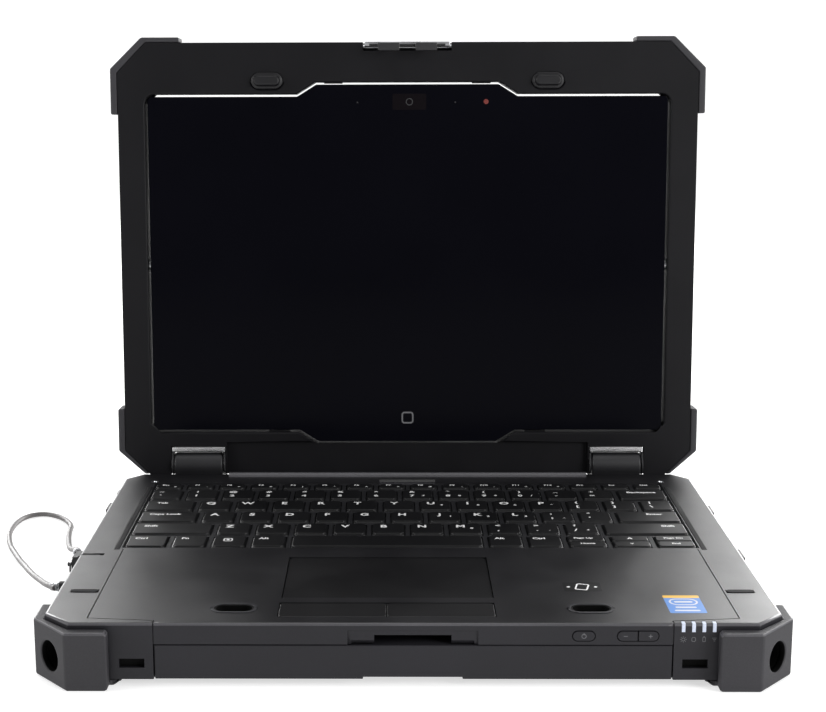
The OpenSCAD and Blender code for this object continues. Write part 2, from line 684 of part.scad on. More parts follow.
// A key is [start in pitches, width in pitches, row, short or tall, lift of its front edge]
function run(start, widths, row) = [for (i = [0:len(widths) - 1])
    [start + total(widths, i), widths[i], row, cap_d, 0]];
function total(list, n) = n == 0 ? 0 : list[n - 1] + total(list, n - 1);
function ones(n) = [for (i = [1:n]) 1];
function key_mid(k) = [kb_x + (k[0] + k[1] / 2) * pitch - key_gap / 2,
    kb_front + k[2] * row_pitch + k[4] + k[3] / 2];

number_row = run(0, ones(13), 4);
upper_row = run(0, concat([wide_u], ones(13)), 3);
home_row = run(0, concat([caps_u], ones(11)), 2);
lower_row = run(0, concat([shift_u], ones(10), [right_shift_u]), 1);
bottom_row = concat(run(0, [ctrl_u, 1, 1, 1], 0), run(space_start + space_u, [1, 1], 0));
function_row = [for (i = [0:15]) [i * function_u, function_u, 5, short_d, 0]];
backspace = [13, wide_u, 4, cap_d, 0];
enter = [caps_u + 11, enter_u, 2, cap_d, 0];
space = [space_start, space_u, 0, cap_d, 0];
arrows = [for (i = [0:2], j = [0, 1])
    [arrow_start + i * arrow_u, arrow_u, 0, arrow_d, j * (arrow_d + arrow_gap)]];
all_keys = concat(number_row, upper_row, home_row, lower_row, bottom_row, function_row,
    [backspace, enter, space], arrows);

module key(k, spread = skirt_out) {
    w = k[1] * pitch - key_gap;
    translate([key_mid(k)[0], key_mid(k)[1], 0]) {
        translate([0, 0, cap_z]) linear_extrude(skirt_t) pad2d(w + 2 * spread, k[3] + 2 * spread, 1.2);
        translate([0, 0, cap_z + skirt_t - 0.01]) linear_extrude(cap_t - skirt_t + 0.01) pad2d(w, k[3], 1.4);
        translate([0, 0, plate_top - plate_t - 1]) linear_extrude(cap_z - plate_top + plate_t + 1.01)
            square(peg_w, center = true);
    }
}

// the raised frame between the keys
module key_frame() color([0.1, 0.1, 0.11]) in_base() difference() {
    block([-well_half + 0.1, well_half - 0.1], [well_front + 0.1, kb_back - 0.1],
        [plate_top + 0.02, key_top - key_rise]);
    for (k = all_keys) translate([key_mid(k)[0], key_mid(k)[1], plate_top - over]) linear_extrude(6)
        square([k[1] * pitch - key_gap, k[3]] + [2, 2] * (skirt_out + move_gap), center = true);
}

module keys(list, spread = skirt_out) color([0.04, 0.04, 0.045]) in_base() for (k = list) key(k, spread);

module function_keys() keys(function_row);
module number_keys() keys(number_row);
module backspace_key() keys([backspace]);
module upper_keys() keys(upper_row);
module home_keys() keys(home_row);
module enter_key() keys([enter]);
module lower_keys() keys(lower_row);
module bottom_keys() keys(bottom_row);
module space_key() keys([space]);
module arrow_keys() keys(arrows, 0.2);

// ---------- doors, battery latch and stylus ----------

// A flap on the right-hand side with its hinge along the bottom and finger tabs at the places given
module side_door(place, tabs) translate([body_half, place[0], 0]) {
    block([-door_t, 0], [0, place[1]], [door_low, door_high]);
    translate([-door_round, 0, door_low]) rotate([-90, 0, 0]) cylinder(r = door_round, h = place[1]);
    for (y = tabs) block([-0.2, tab_out], [y - tab_w / 2, y + tab_w / 2], [door_high - 2.4, door_high]);
}

module port_door_left() color(dark) in_base() mirror([1, 0, 0])
    side_door(door_left, [19]);
module port_door_right() color(dark) in_base() side_door(door_right, [17]);
module drive_door() color(dark) in_base() side_door(door_drive, [36]);

module battery_latch() color(dark) in_base() {
    block(latch_x, [latch_track, latch_track + latch_d], [under_z + 0.3, tongue_z[0] + 0.01]);
    block(latch_x + [-2, 2], [latch_track - 2, latch_track + latch_d + 2], tongue_z);
    block(tongue_x, [fascia_y + battery_d - 2.9, latch_track], tongue_z);
}

module stylus() color(dark) in_base() {
    translate([-body_half + 0.5, stylus_y, stylus_z]) rotate([0, 90, 0])
        cylinder(r = stylus_r, h = stylus_len);
    translate([-body_half - stylus_head, stylus_y, stylus_z]) rotate([0, 90, 0])
        cylinder(r = stylus_head_r, h = stylus_head + over);
}

// Clip that holds the far end of the cord to the deck's slot, and a ring on its stud
module tether_clip() color(dark) in_base() {
    block(clip_x, [clip_y + 4, clip_y + 16.6], [clip_z, clip_z + 3.2]);
    block([clip_x[0] + 1.2, clip_x[1]], [clip_y, clip_y + 4.4], [clip_z, deck_z - 0.4]);
    block([clip_x[0] + 1.2, -body_half + 9], slot_y + [0.3, -0.3], [deck_z - 1.2, deck_z - 0.4]);
    translate([clip_x[0] - 1, clip_y + 0.8, clip_z + 2.2]) rotate([0, 90, 0]) {
        cylinder(r = 1, h = 0.6);
        cylinder(r = 0.6, h = 2.4);
    }
    translate([clip_x[0] + 0.4, clip_y + 0.8, clip_z + 2.8 - clip_ring_r]) rotate([0, 90, 0])
        rotate_extrude() translate([clip_ring_r, 0]) circle(r = 0.4);
}

// ---------- tether cord ----------

function unit(v) = v / norm(v);
function heading(i) = unit(cord_path[min(i + 1, len(cord_path) - 1)] - cord_path[max(i - 1, 0)]);
function side_of(i) = unit(cross([0, 0, 1], heading(i)));
function ring(i) = [for (a = [0:45:359])
    cord_path[i] + cord_r * (side_of(i) * cos(a) + cross(heading(i), side_of(i)) * sin(a))];

module tether_cord() color([0.5, 0.5, 0.5]) {
    n = len(cord_path);
    polyhedron(points = [for (i = [0:n - 1]) each ring(i)],
        faces = concat([[for (k = [0:7]) k]], [[for (k = [0:7]) (n - 1) * 8 + 7 - k]],
            [for (i = [0:n - 2], k = [0:7]) each [[i * 8 + k, (i + 1) * 8 + k, i * 8 + (k + 1) % 8],
                [i * 8 + (k + 1) % 8, (i + 1) * 8 + k, (i + 1) * 8 + (k + 1) % 8]]]));
}

// ---------- lid ----------

module frame_outline() polygon(cut_box(frame_half, lid_foot, frame_top, foot_cut, frame_cut));

// Opening or screen outline: a rectangle that bulges in the middle of its top and bottom
module screen_outline(grow) {
    h = screen_high + grow;
    w = screen_half + grow;
    b = bulge_half + grow * 0.4;
    translate([0, screen_z]) polygon([[-w, -h], [-b - bulge_slope, -h], [-b, -h - bulge], [b, -h - bulge],
        [b + bulge_slope, -h], [w, -h], [w, h], [b + bulge_slope, h], [b, h + bulge], [-b, h + bulge],
        [-b - bulge_slope, h], [-w, h]]);
}

module hinge_pockets() both_sides()
    block([pocket_in, pocket_out], [face_y - over, back_y + over], [lid_foot - over, pocket_r + 3.5]);

module lid_front_frame() color(shell) in_lid() difference() {
    union() {
        slab(face_y, frame_seam) difference() {
            frame_outline();
            screen_outline(screen_gap);
        }
        // tongues that bridge most of the gap at the top and the bottom
        both_sides() {
            translate([0, screen_face, screen_z + screen_high + bulge])
                block([33.8, 43.4], [1, 4], [0.5, screen_gap + 1]);
            translate([0, screen_face, screen_z - screen_high])
                block([63, 74.2], [1, 4], [-screen_gap - 1, -0.5]);
        }
    }
    hinge_pockets();
    block([-pocket_in + 0.6, pocket_in - 0.6], [face_y - over, relief_y], [lid_foot - over, relief_z]);
    both_sides() {
        translate([open_half - over, screen_y, screen_z]) rotate([0, 90, 0]) cylinder(r = pivot_r, h = 6);
        translate([peg_x, 0, peg_z]) slab(face_y - over, face_y + 1.5)
            pill2d(peg_size[0] + 0.1, peg_size[1] + 0.1);
        // side screws of the hinge brackets
        translate([pocket_out - over, 0, pocket_r + 1.5]) rotate([0, 90, 0]) cylinder(r = 1.2, h = 6);
    }
    // notch and pin holes of the latch
    block([-notch_half, notch_half], [face_y - over, frame_seam + over], [notch_z, frame_top + over]);
    translate([-notch_half - 2, latch_y, latch_z]) rotate([0, 90, 0])
        cylinder(r = latch_pin_r, h = 2 * notch_half + 4);
}

module lid_rear_frame() color(shell) in_lid() difference() {
    slab(frame_seam + 0.02, back_y) difference() {
        frame_outline();
        screen_outline(screen_gap);
    }
    hinge_pockets();
}

module lid_bumper_outline() difference() {
    polygon(cut_box(total_w / 2, lid_foot, bumper_top, lid_bumper_foot_cut, lid_bumper_cut));
    polygon(cut_in(frame_half, lid_foot, frame_top, foot_cut, frame_cut, -fit_gap));
}

module upper_lid_bumpers() color(dark) in_lid() both_sides() slab(face_y, back_y) intersection() {
    lid_bumper_outline();
    translate([total_w / 2 - 36.4, frame_top - 36.9]) square(100);
}

module lower_lid_bumpers() color(dark) in_lid() both_sides() slab(face_y, back_y) intersection() {
    lid_bumper_outline();
    translate([total_w / 2 - 26, lid_foot + fit_gap]) square([100, 35.4]);
}

module lid_pegs() color(dark) in_lid() both_sides() translate([peg_x, 0, peg_z]) {
    slab(face_y - 0.3, face_y + 1.4) pill2d(peg_size[0], peg_size[1]);
    slab(face_y - 3.6, face_y) pill2d(tongue[0], tongue[1]);
}

module hinge_brackets() color(steel) in_lid() both_sides() difference() {
    union() {
        block([pocket_in + 0.2, pocket_out - 0.2], [face_y + 0.5, 4], [pocket_r, pocket_r + 3.2]);
        for (x = [pocket_in + 0.2, pocket_out - 0.2 - ear_t]) {
            translate([x, 0, 0]) rotate([0, 90, 0]) cylinder(r = ear_r, h = ear_t);
            block([x, x + ear_t], [-4.2, 4], [0, pocket_r + 0.1]);
        }
    }
    translate([pocket_in - over, 0, 0]) rotate([0, 90, 0])
        cylinder(r = hinge_pin_r, h = pocket_out - pocket_in + 2 * over);
}

module hinge_pins() color(steel) in_lid() both_sides() translate([pocket_in + 0.2, 0, 0]) rotate([0, 90, 0])
    cylinder(r = hinge_pin_r, h = pocket_out - pocket_in - 0.4);

module screen_pivots() color(steel) in_lid() both_sides()
    translate([screen_half - 4.5, screen_y, screen_z]) rotate([0, 90, 0])
        cylinder(r = pivot_r, h = 4.5 + screen_gap + 4.8);

// ---------- latch ----------

module latch_pin() color(steel) in_lid()
    translate([-notch_half - 1.8, latch_y, latch_z]) rotate([0, 90, 0])
        cylinder(r = latch_pin_r, h = 2 * notch_half + 3.6);

module latch_plate() color(steel) in_lid() difference() {
    union() {
        block([-latch_w / 2, latch_w / 2], [latch_face, latch_y + 0.01],
            [frame_top + 0.4 - latch_t, frame_top + 0.4]);
        translate([-latch_w / 2, latch_y, latch_z]) rotate([0, 90, 0]) cylinder(r = latch_eye_r, h = latch_w);
    }
    translate([-latch_w / 2 - over, latch_y, latch_z]) rotate([0, 90, 0])
        cylinder(r = latch_pin_r + pin_gap, h = latch_w + 2 * over);
}

// Two arms that reach over the front panel, each with a tooth that points into its slot
module latch_hooks() color(dark) in_lid() both_sides() {
    block([-over, latch_w / 2 - 2.4], [latch_face - 1.2, latch_face], [frame_top - 1.9, frame_top - 0.8]);
    block(hook_x, [face_y - hook_reach, latch_face], [frame_top - 2.9, frame_top - 0.8]);
    block(hook_x, [face_y - hook_reach, face_y - hook_reach + 2.7], [frame_top - 4.7, frame_top - 2.8]);
}

// ---------- flipping screen ----------

module screen_glass() color([0.02, 0.02, 0.025]) in_lid()
    slab(screen_face, screen_face + 1) screen_outline(0);

module lcd_panel() color([0.06, 0.07, 0.09]) in_lid() translate([0, 0, screen_z])
    block([-129, 129], [screen_face + 1.05, screen_face + 4.2], [-76, 76]);

module screen_cover() color(shell) in_lid() difference() {
    slab(screen_face + 1.02, screen_back) screen_outline(0);
    block([-130.5, 130.5], [screen_face, screen_back - wall],
        [screen_z - screen_high + 2.5, screen_z + screen_high - 2.5]);
    both_sides() translate([screen_half - 5, screen_y, screen_z]) rotate([0, 90, 0])
        cylinder(r = pivot_r + pin_gap, h = 6);
    translate([0, screen_face, screen_z + screen_high]) block([-9, 11], [0, 5], [-3, bulge - 1.2]);
}

module webcam() color(steel) in_lid() {
    translate([0, screen_face, screen_z + screen_high]) {
        block([-8.5, 10.5], [1.1, 3], [-2.3, bulge - 1.6]);
        translate([1, 0, bulge / 2 - 2]) slab(2.9, 4.6) circle(r = 1.6);
    }
}

bottom_shell();
top_cover();
keyboard_plate();
front_bumper_left();
front_bumper_right();
rear_bumpers();
touchpad();
battery_pack();
mainboard();
fan_housing();
fan_rotor();
heatsink();
storage_drive();
speakers();
port_sockets();
light_pipes();
deck_rubbers();
peg_sockets();
deck_screws();
bottom_screws();
hinge_knuckles();
power_button();
volume_down();
volume_up();
touch_button_left();
touch_button_right();
key_frame();
function_keys();
number_keys();
backspace_key();
upper_keys();
home_keys();
enter_key();
lower_keys();
bottom_keys();
space_key();
arrow_keys();
port_door_left();
port_door_right();
drive_door();
battery_latch();
stylus();
tether_clip();
tether_cord();
lid_front_frame();
lid_rear_frame();
upper_lid_bumpers();
lower_lid_bumpers();
lid_pegs();
hinge_brackets();
hinge_pins();
screen_pivots();
latch_pin();
latch_plate();
latch_hooks();
screen_glass();
lcd_panel();
screen_cover();
webcam();
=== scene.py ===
"""Looks of a rugged convertible laptop, built round its CAD frame. Metres, X right, Y back, Z up."""

import functools
import json
import math

import bmesh
import bpy
from bpy.props import FloatProperty, FloatVectorProperty, PointerProperty
from mathutils import Matrix, Quaternion, Vector

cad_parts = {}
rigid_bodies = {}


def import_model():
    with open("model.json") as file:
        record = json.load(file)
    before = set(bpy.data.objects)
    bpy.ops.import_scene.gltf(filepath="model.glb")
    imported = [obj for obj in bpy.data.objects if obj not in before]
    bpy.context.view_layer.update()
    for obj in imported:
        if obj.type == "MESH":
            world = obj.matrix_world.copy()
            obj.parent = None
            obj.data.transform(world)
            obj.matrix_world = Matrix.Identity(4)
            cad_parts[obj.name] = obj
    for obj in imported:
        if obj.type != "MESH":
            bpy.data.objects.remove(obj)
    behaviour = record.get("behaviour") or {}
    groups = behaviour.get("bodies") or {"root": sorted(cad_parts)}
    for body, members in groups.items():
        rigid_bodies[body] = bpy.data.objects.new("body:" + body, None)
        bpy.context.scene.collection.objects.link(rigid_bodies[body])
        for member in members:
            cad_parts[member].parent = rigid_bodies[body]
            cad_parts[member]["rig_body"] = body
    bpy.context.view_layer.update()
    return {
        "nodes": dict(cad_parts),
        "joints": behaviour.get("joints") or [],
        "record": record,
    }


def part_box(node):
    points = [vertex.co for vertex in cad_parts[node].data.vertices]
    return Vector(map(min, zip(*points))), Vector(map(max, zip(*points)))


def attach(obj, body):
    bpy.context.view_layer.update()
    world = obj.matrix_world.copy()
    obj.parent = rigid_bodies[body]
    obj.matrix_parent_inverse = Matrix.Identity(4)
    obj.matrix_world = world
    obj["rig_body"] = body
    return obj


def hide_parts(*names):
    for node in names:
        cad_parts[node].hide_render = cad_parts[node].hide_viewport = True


bl_info = {
    "name": "Rugged laptop",
    "version": (1, 0, 0),
    "blender": (4, 5, 0),
    "location": "3D View > Sidebar > Laptop",
    "description": "Finished shells, keys, screen, tether and studio of a rugged laptop",
    "category": "Object",
}

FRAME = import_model()
MM = 0.001


# ---------- places taken from the frame ----------


def joint_place(name):
    """Where a joint's axis passes, in the row frame."""
    return Vector(next(j["pos_m"] for j in FRAME["joints"] if j["name"] == name))


def lid_frame():
    """The lid's own frame: X right, Y back through the lid, Z up the lid, from the hinge axis."""
    glass = FRAME["nodes"]["screen_glass"].data
    front = min(glass.polygons, key=lambda face: face.normal.y).normal
    lean = math.atan2(front.z, -front.y)
    return Matrix.Translation(joint_place("lid_hinge")) @ Matrix.Rotation(-lean, 4, "X")


LID = lid_frame()
INTO_LID = LID.inverted()


def box_in(frame, node):
    """Lowest and highest corner of a node, measured in another frame."""
    back = frame.inverted()
    spots = [back @ vertex.co for vertex in FRAME["nodes"][node].data.vertices]
    return (
        Vector([min(spot[i] for spot in spots) for i in range(3)]),
        Vector([max(spot[i] for spot in spots) for i in range(3)]),
    )


@functools.cache
def box_of(node):
    """Lowest and highest corner of a node, measured once."""
    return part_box(node)


@functools.cache
def lid_box(node):
    """The same in the lid's own frame."""
    return box_in(LID, node)


def solids_of(node):
    """Boxes of a node's separate solids, as pairs of corners, sorted from left to right."""
    bm = bmesh.new()
    bm.from_mesh(FRAME["nodes"][node].data)
    bmesh.ops.remove_doubles(bm, verts=bm.verts, dist=MM * 0.001)
    left, boxes = set(bm.verts), []
    while left:
        group, edge = set(), {left.pop()}
        while edge:
            group |= edge
            edge = {e.other_vert(v) for v in edge for e in v.link_edges} - group
        left -= group
        boxes.append(
            (
                Vector([min(v.co[i] for v in group) for i in range(3)]),
                Vector([max(v.co[i] for v in group) for i in range(3)]),
            )
        )
    bm.free()
    return sorted(boxes, key=lambda box: (round(box[0].x, 4), -box[0].y))


# ---------- materials ----------


class Wire:
    """A shader socket that takes part in Python sums."""

    def __init__(self, finish, socket):
        self.finish = finish
        self.socket = socket

    def maths(self, operation, first, second):
        return self.finish.node("ShaderNodeMath", {"operation": operation}, {0: first, 1: second})

    def __add__(self, other):
        return self.maths("ADD", self, other)

    __radd__ = __add__

    def __sub__(self, other):
        return self.maths("SUBTRACT", self, other)

    def __rsub__(self, other):
        return self.maths("SUBTRACT", other, self)

    def __mul__(self, other):
        return self.maths("MULTIPLY", self, other)

    __rmul__ = __mul__


class Finish:
    """A material under construction: a Principled shader and the nodes that feed it."""

    def __init__(self, name, **sockets):
        self.material = bpy.data.materials.new(name)
        self.material.use_nodes = True
        self.tree = self.material.node_tree
        self.shader = self.tree.nodes["Principled BSDF"]
        for label, value in sockets.items():
            self.shader.inputs[label.replace("_", " ")].default_value = value

    def node(self, kind, settings, inputs, output=0):
        made = self.tree.nodes.new(kind)
        for name, value in settings.items():
            setattr(made, name, value)
        for label, value in inputs.items():
            self.join(value, made.inputs[label])
        return Wire(self, made.outputs[output])

    def join(self, value, socket):
        if isinstance(value, Wire):
            self.tree.links.new(value.socket, socket)
        else:
            socket.default_value = value

    def feed(self, label, value):
        self.join(value, self.shader.inputs[label])

    def place(self, scale=(1, 1, 1)):
        """Object coordinates, stretched by a scale along each axis."""
        spot = self.node("ShaderNodeTexCoord", {}, {}, "Object")
        return self.node("ShaderNodeMapping", {}, {"Vector": spot, "Scale": scale})

    def noise(self, size, detail=3.0, scale=(1, 1, 1)):
        """Smooth noise whose lumps are about one size across, in metres."""
        return self.node(
            "ShaderNodeTexNoise",
            {},
            {"Vector": self.place(scale), "Scale": 1 / size, "Detail": detail},
            "Fac",
        )

    def between(self, factor, low, high):
        return self.node(
            "ShaderNodeMix", {"data_type": "RGBA"}, {0: factor, 6: (*low, 1), 7: (*high, 1)}, 2
        )

    def spread(self, value, low, high):
        """Stretches the middle of a noise to run from low to high."""
        return self.node(
            "ShaderNodeMapRange", {}, {0: value, 1: 0.3, 2: 0.7, 3: low, 4: high}
        )

    def relief(self, height, depth):
        inputs = {"Height": height, "Distance": depth, "Strength": 1.0}
        bump = self.node("ShaderNodeBump", {}, inputs, "Normal")
        self.feed("Normal", bump)


def tinted(colour, share):
    return tuple(channel * share for channel in colour)


def moulded(name, colour, grain, depth, roughness, level=0.5):
    """Moulded plastic or rubber with an eroded grain, faint blotches and uneven gloss."""
    finish = Finish(name, Specular_IOR_Level=level)
    speckle = finish.noise(grain, 2.0)
    blotch = finish.noise(0.035, 4.0)
    colours = finish.between(finish.spread(blotch, 0.0, 1.0), tinted(colour, 0.86), tinted(colour, 1.12))
    lit = finish.node(
        "ShaderNodeMix",
        {"data_type": "RGBA", "blend_type": "MULTIPLY"},
        {0: finish.spread(speckle, 0.0, 0.35), 6: colours, 7: (0.55, 0.55, 0.57, 1)},
        2,
    )
    finish.feed("Base Color", lit)
    finish.feed("Roughness", finish.spread(blotch, roughness - 0.04, roughness + 0.05) + speckle * 0.05)
    finish.relief(speckle, depth)
    return finish.material


def brushed(name, colour, roughness, along=(1, 1, 1)):
    """Brushed or turned metal, with hairlines along the axis whose scale is least."""
    finish = Finish(name, Metallic=1.0)
    hair = finish.noise(0.0006, 3.0, along)
    finish.feed("Base Color", finish.between(hair, tinted(colour, 0.8), tinted(colour, 1.1)))
    finish.feed("Roughness", finish.spread(hair, roughness - 0.07, roughness + 0.1))
    finish.relief(hair, 0.00002)
    return finish.material


def printed(name, colour, roughness=0.5):
    """A thin print or label, with slight unevenness in its ink."""
    finish = Finish(name, Specular_IOR_Level=0.3)
    ink = finish.noise(0.0008, 2.0)
    finish.feed("Base Color", finish.between(ink, tinted(colour, 0.88), colour))
    finish.feed("Roughness", finish.spread(ink, roughness - 0.06, roughness + 0.08))
    return finish.material


def black_glass(name, colour):
    """Coated glass over a black print, with the faint haze of fingers."""
    finish = Finish(name, Specular_IOR_Level=0.02, IOR=1.5)
    haze = finish.noise(0.06, 5.0)
    finish.feed("Base Color", finish.between(haze, tinted(colour, 0.8), tinted(colour, 1.2)))
    finish.feed("Roughness", finish.spread(haze, 0.08, 0.16))
    return finish.material


def circuit(name, board, track):
    """Solder mask with a net of tracks under it."""
    finish = Finish(name)
    net = finish.node(
        "ShaderNodeTexVoronoi",
        {"feature": "DISTANCE_TO_EDGE"},
        {"Vector": finish.place(), "Scale": 320.0},
        "Distance",
    )
    line = finish.node("ShaderNodeMath", {"operation": "LESS_THAN"}, {0: net, 1: 0.06})
    finish.feed("Base Color", finish.between(line, board, track))
    finish.feed("Roughness", 0.35 + 0.2 * line)
    finish.relief(line, 0.00003)
    return finish.material


def clear_sleeve(name, colour):
    """Clear heat-shrunk sleeve, clouded by the crimp under it."""
    finish = Finish(name, Transmission_Weight=0.55, IOR=1.45)
    cloud = finish.noise(0.002, 3.0)
    finish.feed("Base Color", finish.between(cloud, tinted(colour, 0.85), colour))
    finish.feed("Roughness", finish.spread(cloud, 0.18, 0.32))
    return finish.material


FINISHES = {}


def make_finishes(colours):
    shell = colours.shell
    FINISHES.update(
        {
            "shell_plastic": moulded("charcoal_shell", shell, 0.00045, 0.00003, 0.5, 0.3),
            "deck_plastic": moulded("charcoal_deck", tinted(shell, 0.4), 0.00045, 0.00003, 0.37, 0.62),
            "lid_plastic": moulded("charcoal_lid", tinted(shell, 0.36), 0.00045, 0.00003, 0.5, 0.17),
            "bumper_rubber": moulded("bumper_rubber", colours.bumper, 0.0007, 0.00004, 0.62, 0.4),
            "soft_rubber": moulded("soft_rubber", (0.004, 0.004, 0.005), 0.0009, 0.00003, 0.7, 0.12),
            "door_plastic": moulded("door_plastic", (0.012, 0.012, 0.014), 0.0006, 0.00003, 0.5),
            "plate_plastic": moulded("plate_plastic", (0.014, 0.014, 0.016), 0.0006, 0.00003, 0.5),
            "frame_plastic": moulded("keyboard_frame", (0.012, 0.012, 0.014), 0.0006, 0.00003, 0.5, 0.35),
            "peg_plastic": moulded("peg_plastic", tinted(shell, 0.4), 0.0005, 0.00002, 0.45, 0.35),
            "pad_plastic": moulded("pad_plastic", colours.pad, 0.0003, 0.000015, 0.42, 0.35),
            "key_plastic": moulded("key_plastic", colours.key, 0.0003, 0.000012, 0.42, 0.32),
            # Painted highlight: a lighter grey plastic for the rims of the deck and bumpers, standing in for
            # the overhead lamp's reflection there
            "rim_painted_highlight": moulded("rim_painted_highlight", (0.07, 0.068, 0.075), 0.0006, 0.00002, 0.42),
            "bright_steel": brushed("bright_steel", (0.92, 0.92, 0.93), 0.25, (0.05, 1, 1)),
            "steel": brushed("satin_steel", (0.72, 0.73, 0.75), 0.3, (0.05, 1, 1)),
            "circuit_board": circuit("solder_mask", (0.01, 0.07, 0.03), (0.03, 0.16, 0.07)),
            "copper": brushed("copper", (0.75, 0.4, 0.25), 0.3, (1, 0.05, 1)),
            "drive_metal": brushed("drive_metal", (0.5, 0.51, 0.54), 0.35, (1, 0.05, 1)),
            "stylus_plastic": moulded("stylus_plastic", (0.006, 0.006, 0.007), 0.0008, 0.00001, 0.3),
            "cord_rubber": moulded("cord_cover", colours.cord, 0.0004, 0.00002, 0.45),
            "screen_glass": black_glass("screen_glass", (0.0026, 0.0026, 0.0042)),
            "display": black_glass("display", (0.003, 0.003, 0.005)),
            "legend": printed("key_legend", colours.legend, 0.5),
            "faint_print": printed("faint_print", (0.14, 0.14, 0.15), 0.5),
            "pale_print": printed("pale_print", (0.62, 0.62, 0.64), 0.45),
            "label_blue": printed("label_blue", colours.label, 0.35),
            "label_yellow": printed("label_yellow", (0.8, 0.45, 0.05), 0.35),
            # Painted shade: near-black for the insides of the tie-down sockets, peg sockets and speaker
            # openings, where shade falls
            "painted_shade_hollow": moulded("dark_painted_shade", (0.002, 0.002, 0.002), 0.0008, 0.00001, 0.7, 0.1),
            "sleeve": clear_sleeve("clear_sleeve", (0.85, 0.86, 0.88)),
            "light_pipe": printed("light_pipe", (0.6, 0.65, 0.78), 0.25),
            "lens": black_glass("camera_lens", (0.0055, 0.0045, 0.0055)),
            "amber": printed("amber_light", (0.16, 0.035, 0.03), 0.3),
        }
    )


# ---------- mesh helpers ----------


def smooth_shaded(mesh, angle):
    mesh.polygons.foreach_set("use_smooth", [True] * len(mesh.polygons))
    mesh.set_sharp_from_angle(angle=math.radians(angle))


def add_piece(name, bm, body, finish, slot=None, sharp=32):
    """Turns a bmesh into a piece that rides on a body. The mesh holds its place."""
    mesh = bpy.data.meshes.new(name)
    bm.to_mesh(mesh)
    bm.free()
    mesh.materials.append(FINISHES[finish])
    smooth_shaded(mesh, sharp)
    made = bpy.data.objects.new(name, mesh)
    bpy.context.scene.collection.objects.link(made)
    shading = made.modifiers.new("even_shading", "WEIGHTED_NORMAL")
    shading.keep_sharp = True
    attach(made, body)
    return made


def body_of(node):
    return FRAME["nodes"][node]["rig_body"]


def slot_of(node):
    return next(part["material_slot"] for part in FRAME["record"]["subparts"] if part["node"] == node)


def rounded(node, width, segments=2, finish=None, pick=None, angle=28, first=None, cut=None):
    """A copy of a node with rounded edges, which stands for it.

    pick chooses among the edges, first is an earlier (width, segments, pick) for some of them, and cut is
    a (spot, normal) plane that parts the faces, so that they can be painted apart."""
    bm = bmesh.new()
    bm.from_mesh(FRAME["nodes"][node].data)
    bmesh.ops.remove_doubles(bm, verts=bm.verts, dist=MM * 0.001)
    flat = math.radians(0.5)
    bmesh.ops.dissolve_limit(bm, angle_limit=flat, verts=bm.verts, edges=bm.edges, delimit=set())
    if first:
        round_edges(bm, *first, angle)
    round_edges(bm, width, segments, pick, angle)
    if cut:
        every = [*bm.verts, *bm.edges, *bm.faces]
        bmesh.ops.bisect_plane(bm, geom=every, plane_co=cut[0], plane_no=cut[1])
    copy = add_piece(node + "_finished", bm, body_of(node), finish or slot_of(node), slot_of(node))
    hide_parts(node)
    return copy


def repaint(piece, finish, chosen):
    """Gives a second finish to the faces that chosen picks."""
    piece.data.materials.append(FINISHES[finish])
    for face in piece.data.polygons:
        if chosen(face):
            face.material_index = len(piece.data.materials) - 1


def round_edges(bm, width, segments, pick=None, angle=28):
    limit = math.radians(angle)
    bent = [e for e in bm.edges if e.is_manifold and e.calc_face_angle(0) > limit]
    sharp = [e for e in bent if not pick or pick(e)]
    bmesh.ops.bevel(
        bm,
        geom=sharp,
        offset=width,
        offset_type="OFFSET",
        affect="EDGES",
        segments=segments,
        profile=0.5,
        material=-1,
        clamp_overlap=False,
    )


def dress(node, finish=None):
    """Gives a node's own mesh its finish."""
    mesh = FRAME["nodes"][node].data
    mesh.materials.clear()
    mesh.materials.append(FINISHES[finish or slot_of(node)])


def patch(bm, width, height, place, corner=0.0, band=0.0, steps=4):
    """A flat rounded rectangle on the XY plane of place, or with band only a band round its edge."""
    made = bmesh.ops.create_grid(bm, x_segments=1, y_segments=1, size=0.5)["verts"]
    bmesh.ops.scale(bm, vec=(width, height, 1), verts=made)
    if corner:
        made = bmesh.ops.bevel(
            bm,
            geom=made,
            offset=min(corner, min(width, height) * 0.499),
            offset_type="OFFSET",
            affect="VERTICES",
            segments=steps,
            profile=0.5,
            material=-1,
        )["verts"]
    face = made[0].link_faces[0]
    shape = list(face.verts)
    if band:
        ring = bmesh.ops.inset_region(
            bm, faces=[face], thickness=band, use_boundary=True, use_even_offset=True
        )
        shape = list({v for f in [*ring["faces"], face] for v in f.verts})
        bmesh.ops.delete(bm, geom=[face], context="FACES_ONLY")
    bmesh.ops.transform(bm, matrix=place, verts=shape)
    return shape


def disc(bm, radius, place, band=0.0, steps=20):
    """A flat disc on the XY plane of place, or with band only a ring."""
    shape = bmesh.ops.create_circle(bm, cap_ends=True, segments=steps, radius=radius)["verts"]
    if band:
        face = shape[0].link_faces[0]
        ring = bmesh.ops.inset_region(
            bm, faces=[face], thickness=band, use_boundary=True, use_even_offset=True
        )
        shape = list({v for f in [*ring["faces"], face] for v in f.verts})
        bmesh.ops.delete(bm, geom=[face], context="FACES_ONLY")
    bmesh.ops.transform(bm, matrix=place, verts=shape)
    return shape


def lettering(bm, words, size, place, stretch=1.0, bold=0.034):
    """Flat lettering centred on place."""
    curve = bpy.data.curves.new("lettering", "FONT")
    curve.body = words
    curve.offset = bold
    curve.resolution_u = 3
    curve.align_x = "CENTER"
    curve.align_y = "CENTER"
    holder = bpy.data.objects.new("lettering", curve)
    mesh = bpy.data.meshes.new_from_object(holder)
    mesh.transform(place @ Matrix.Diagonal((size * stretch, size, size, 1)))
    bm.from_mesh(mesh)
    bpy.data.objects.remove(holder)
    bpy.data.curves.remove(curve)
    bpy.data.meshes.remove(mesh)


def at(x, y, z):
    return Matrix.Translation((x, y, z))


def facing_front(x, y, z):
    """A plane that faces the front, with its Y up."""
    return at(x, y, z) @ Matrix.Rotation(math.radians(90), 4, "X")


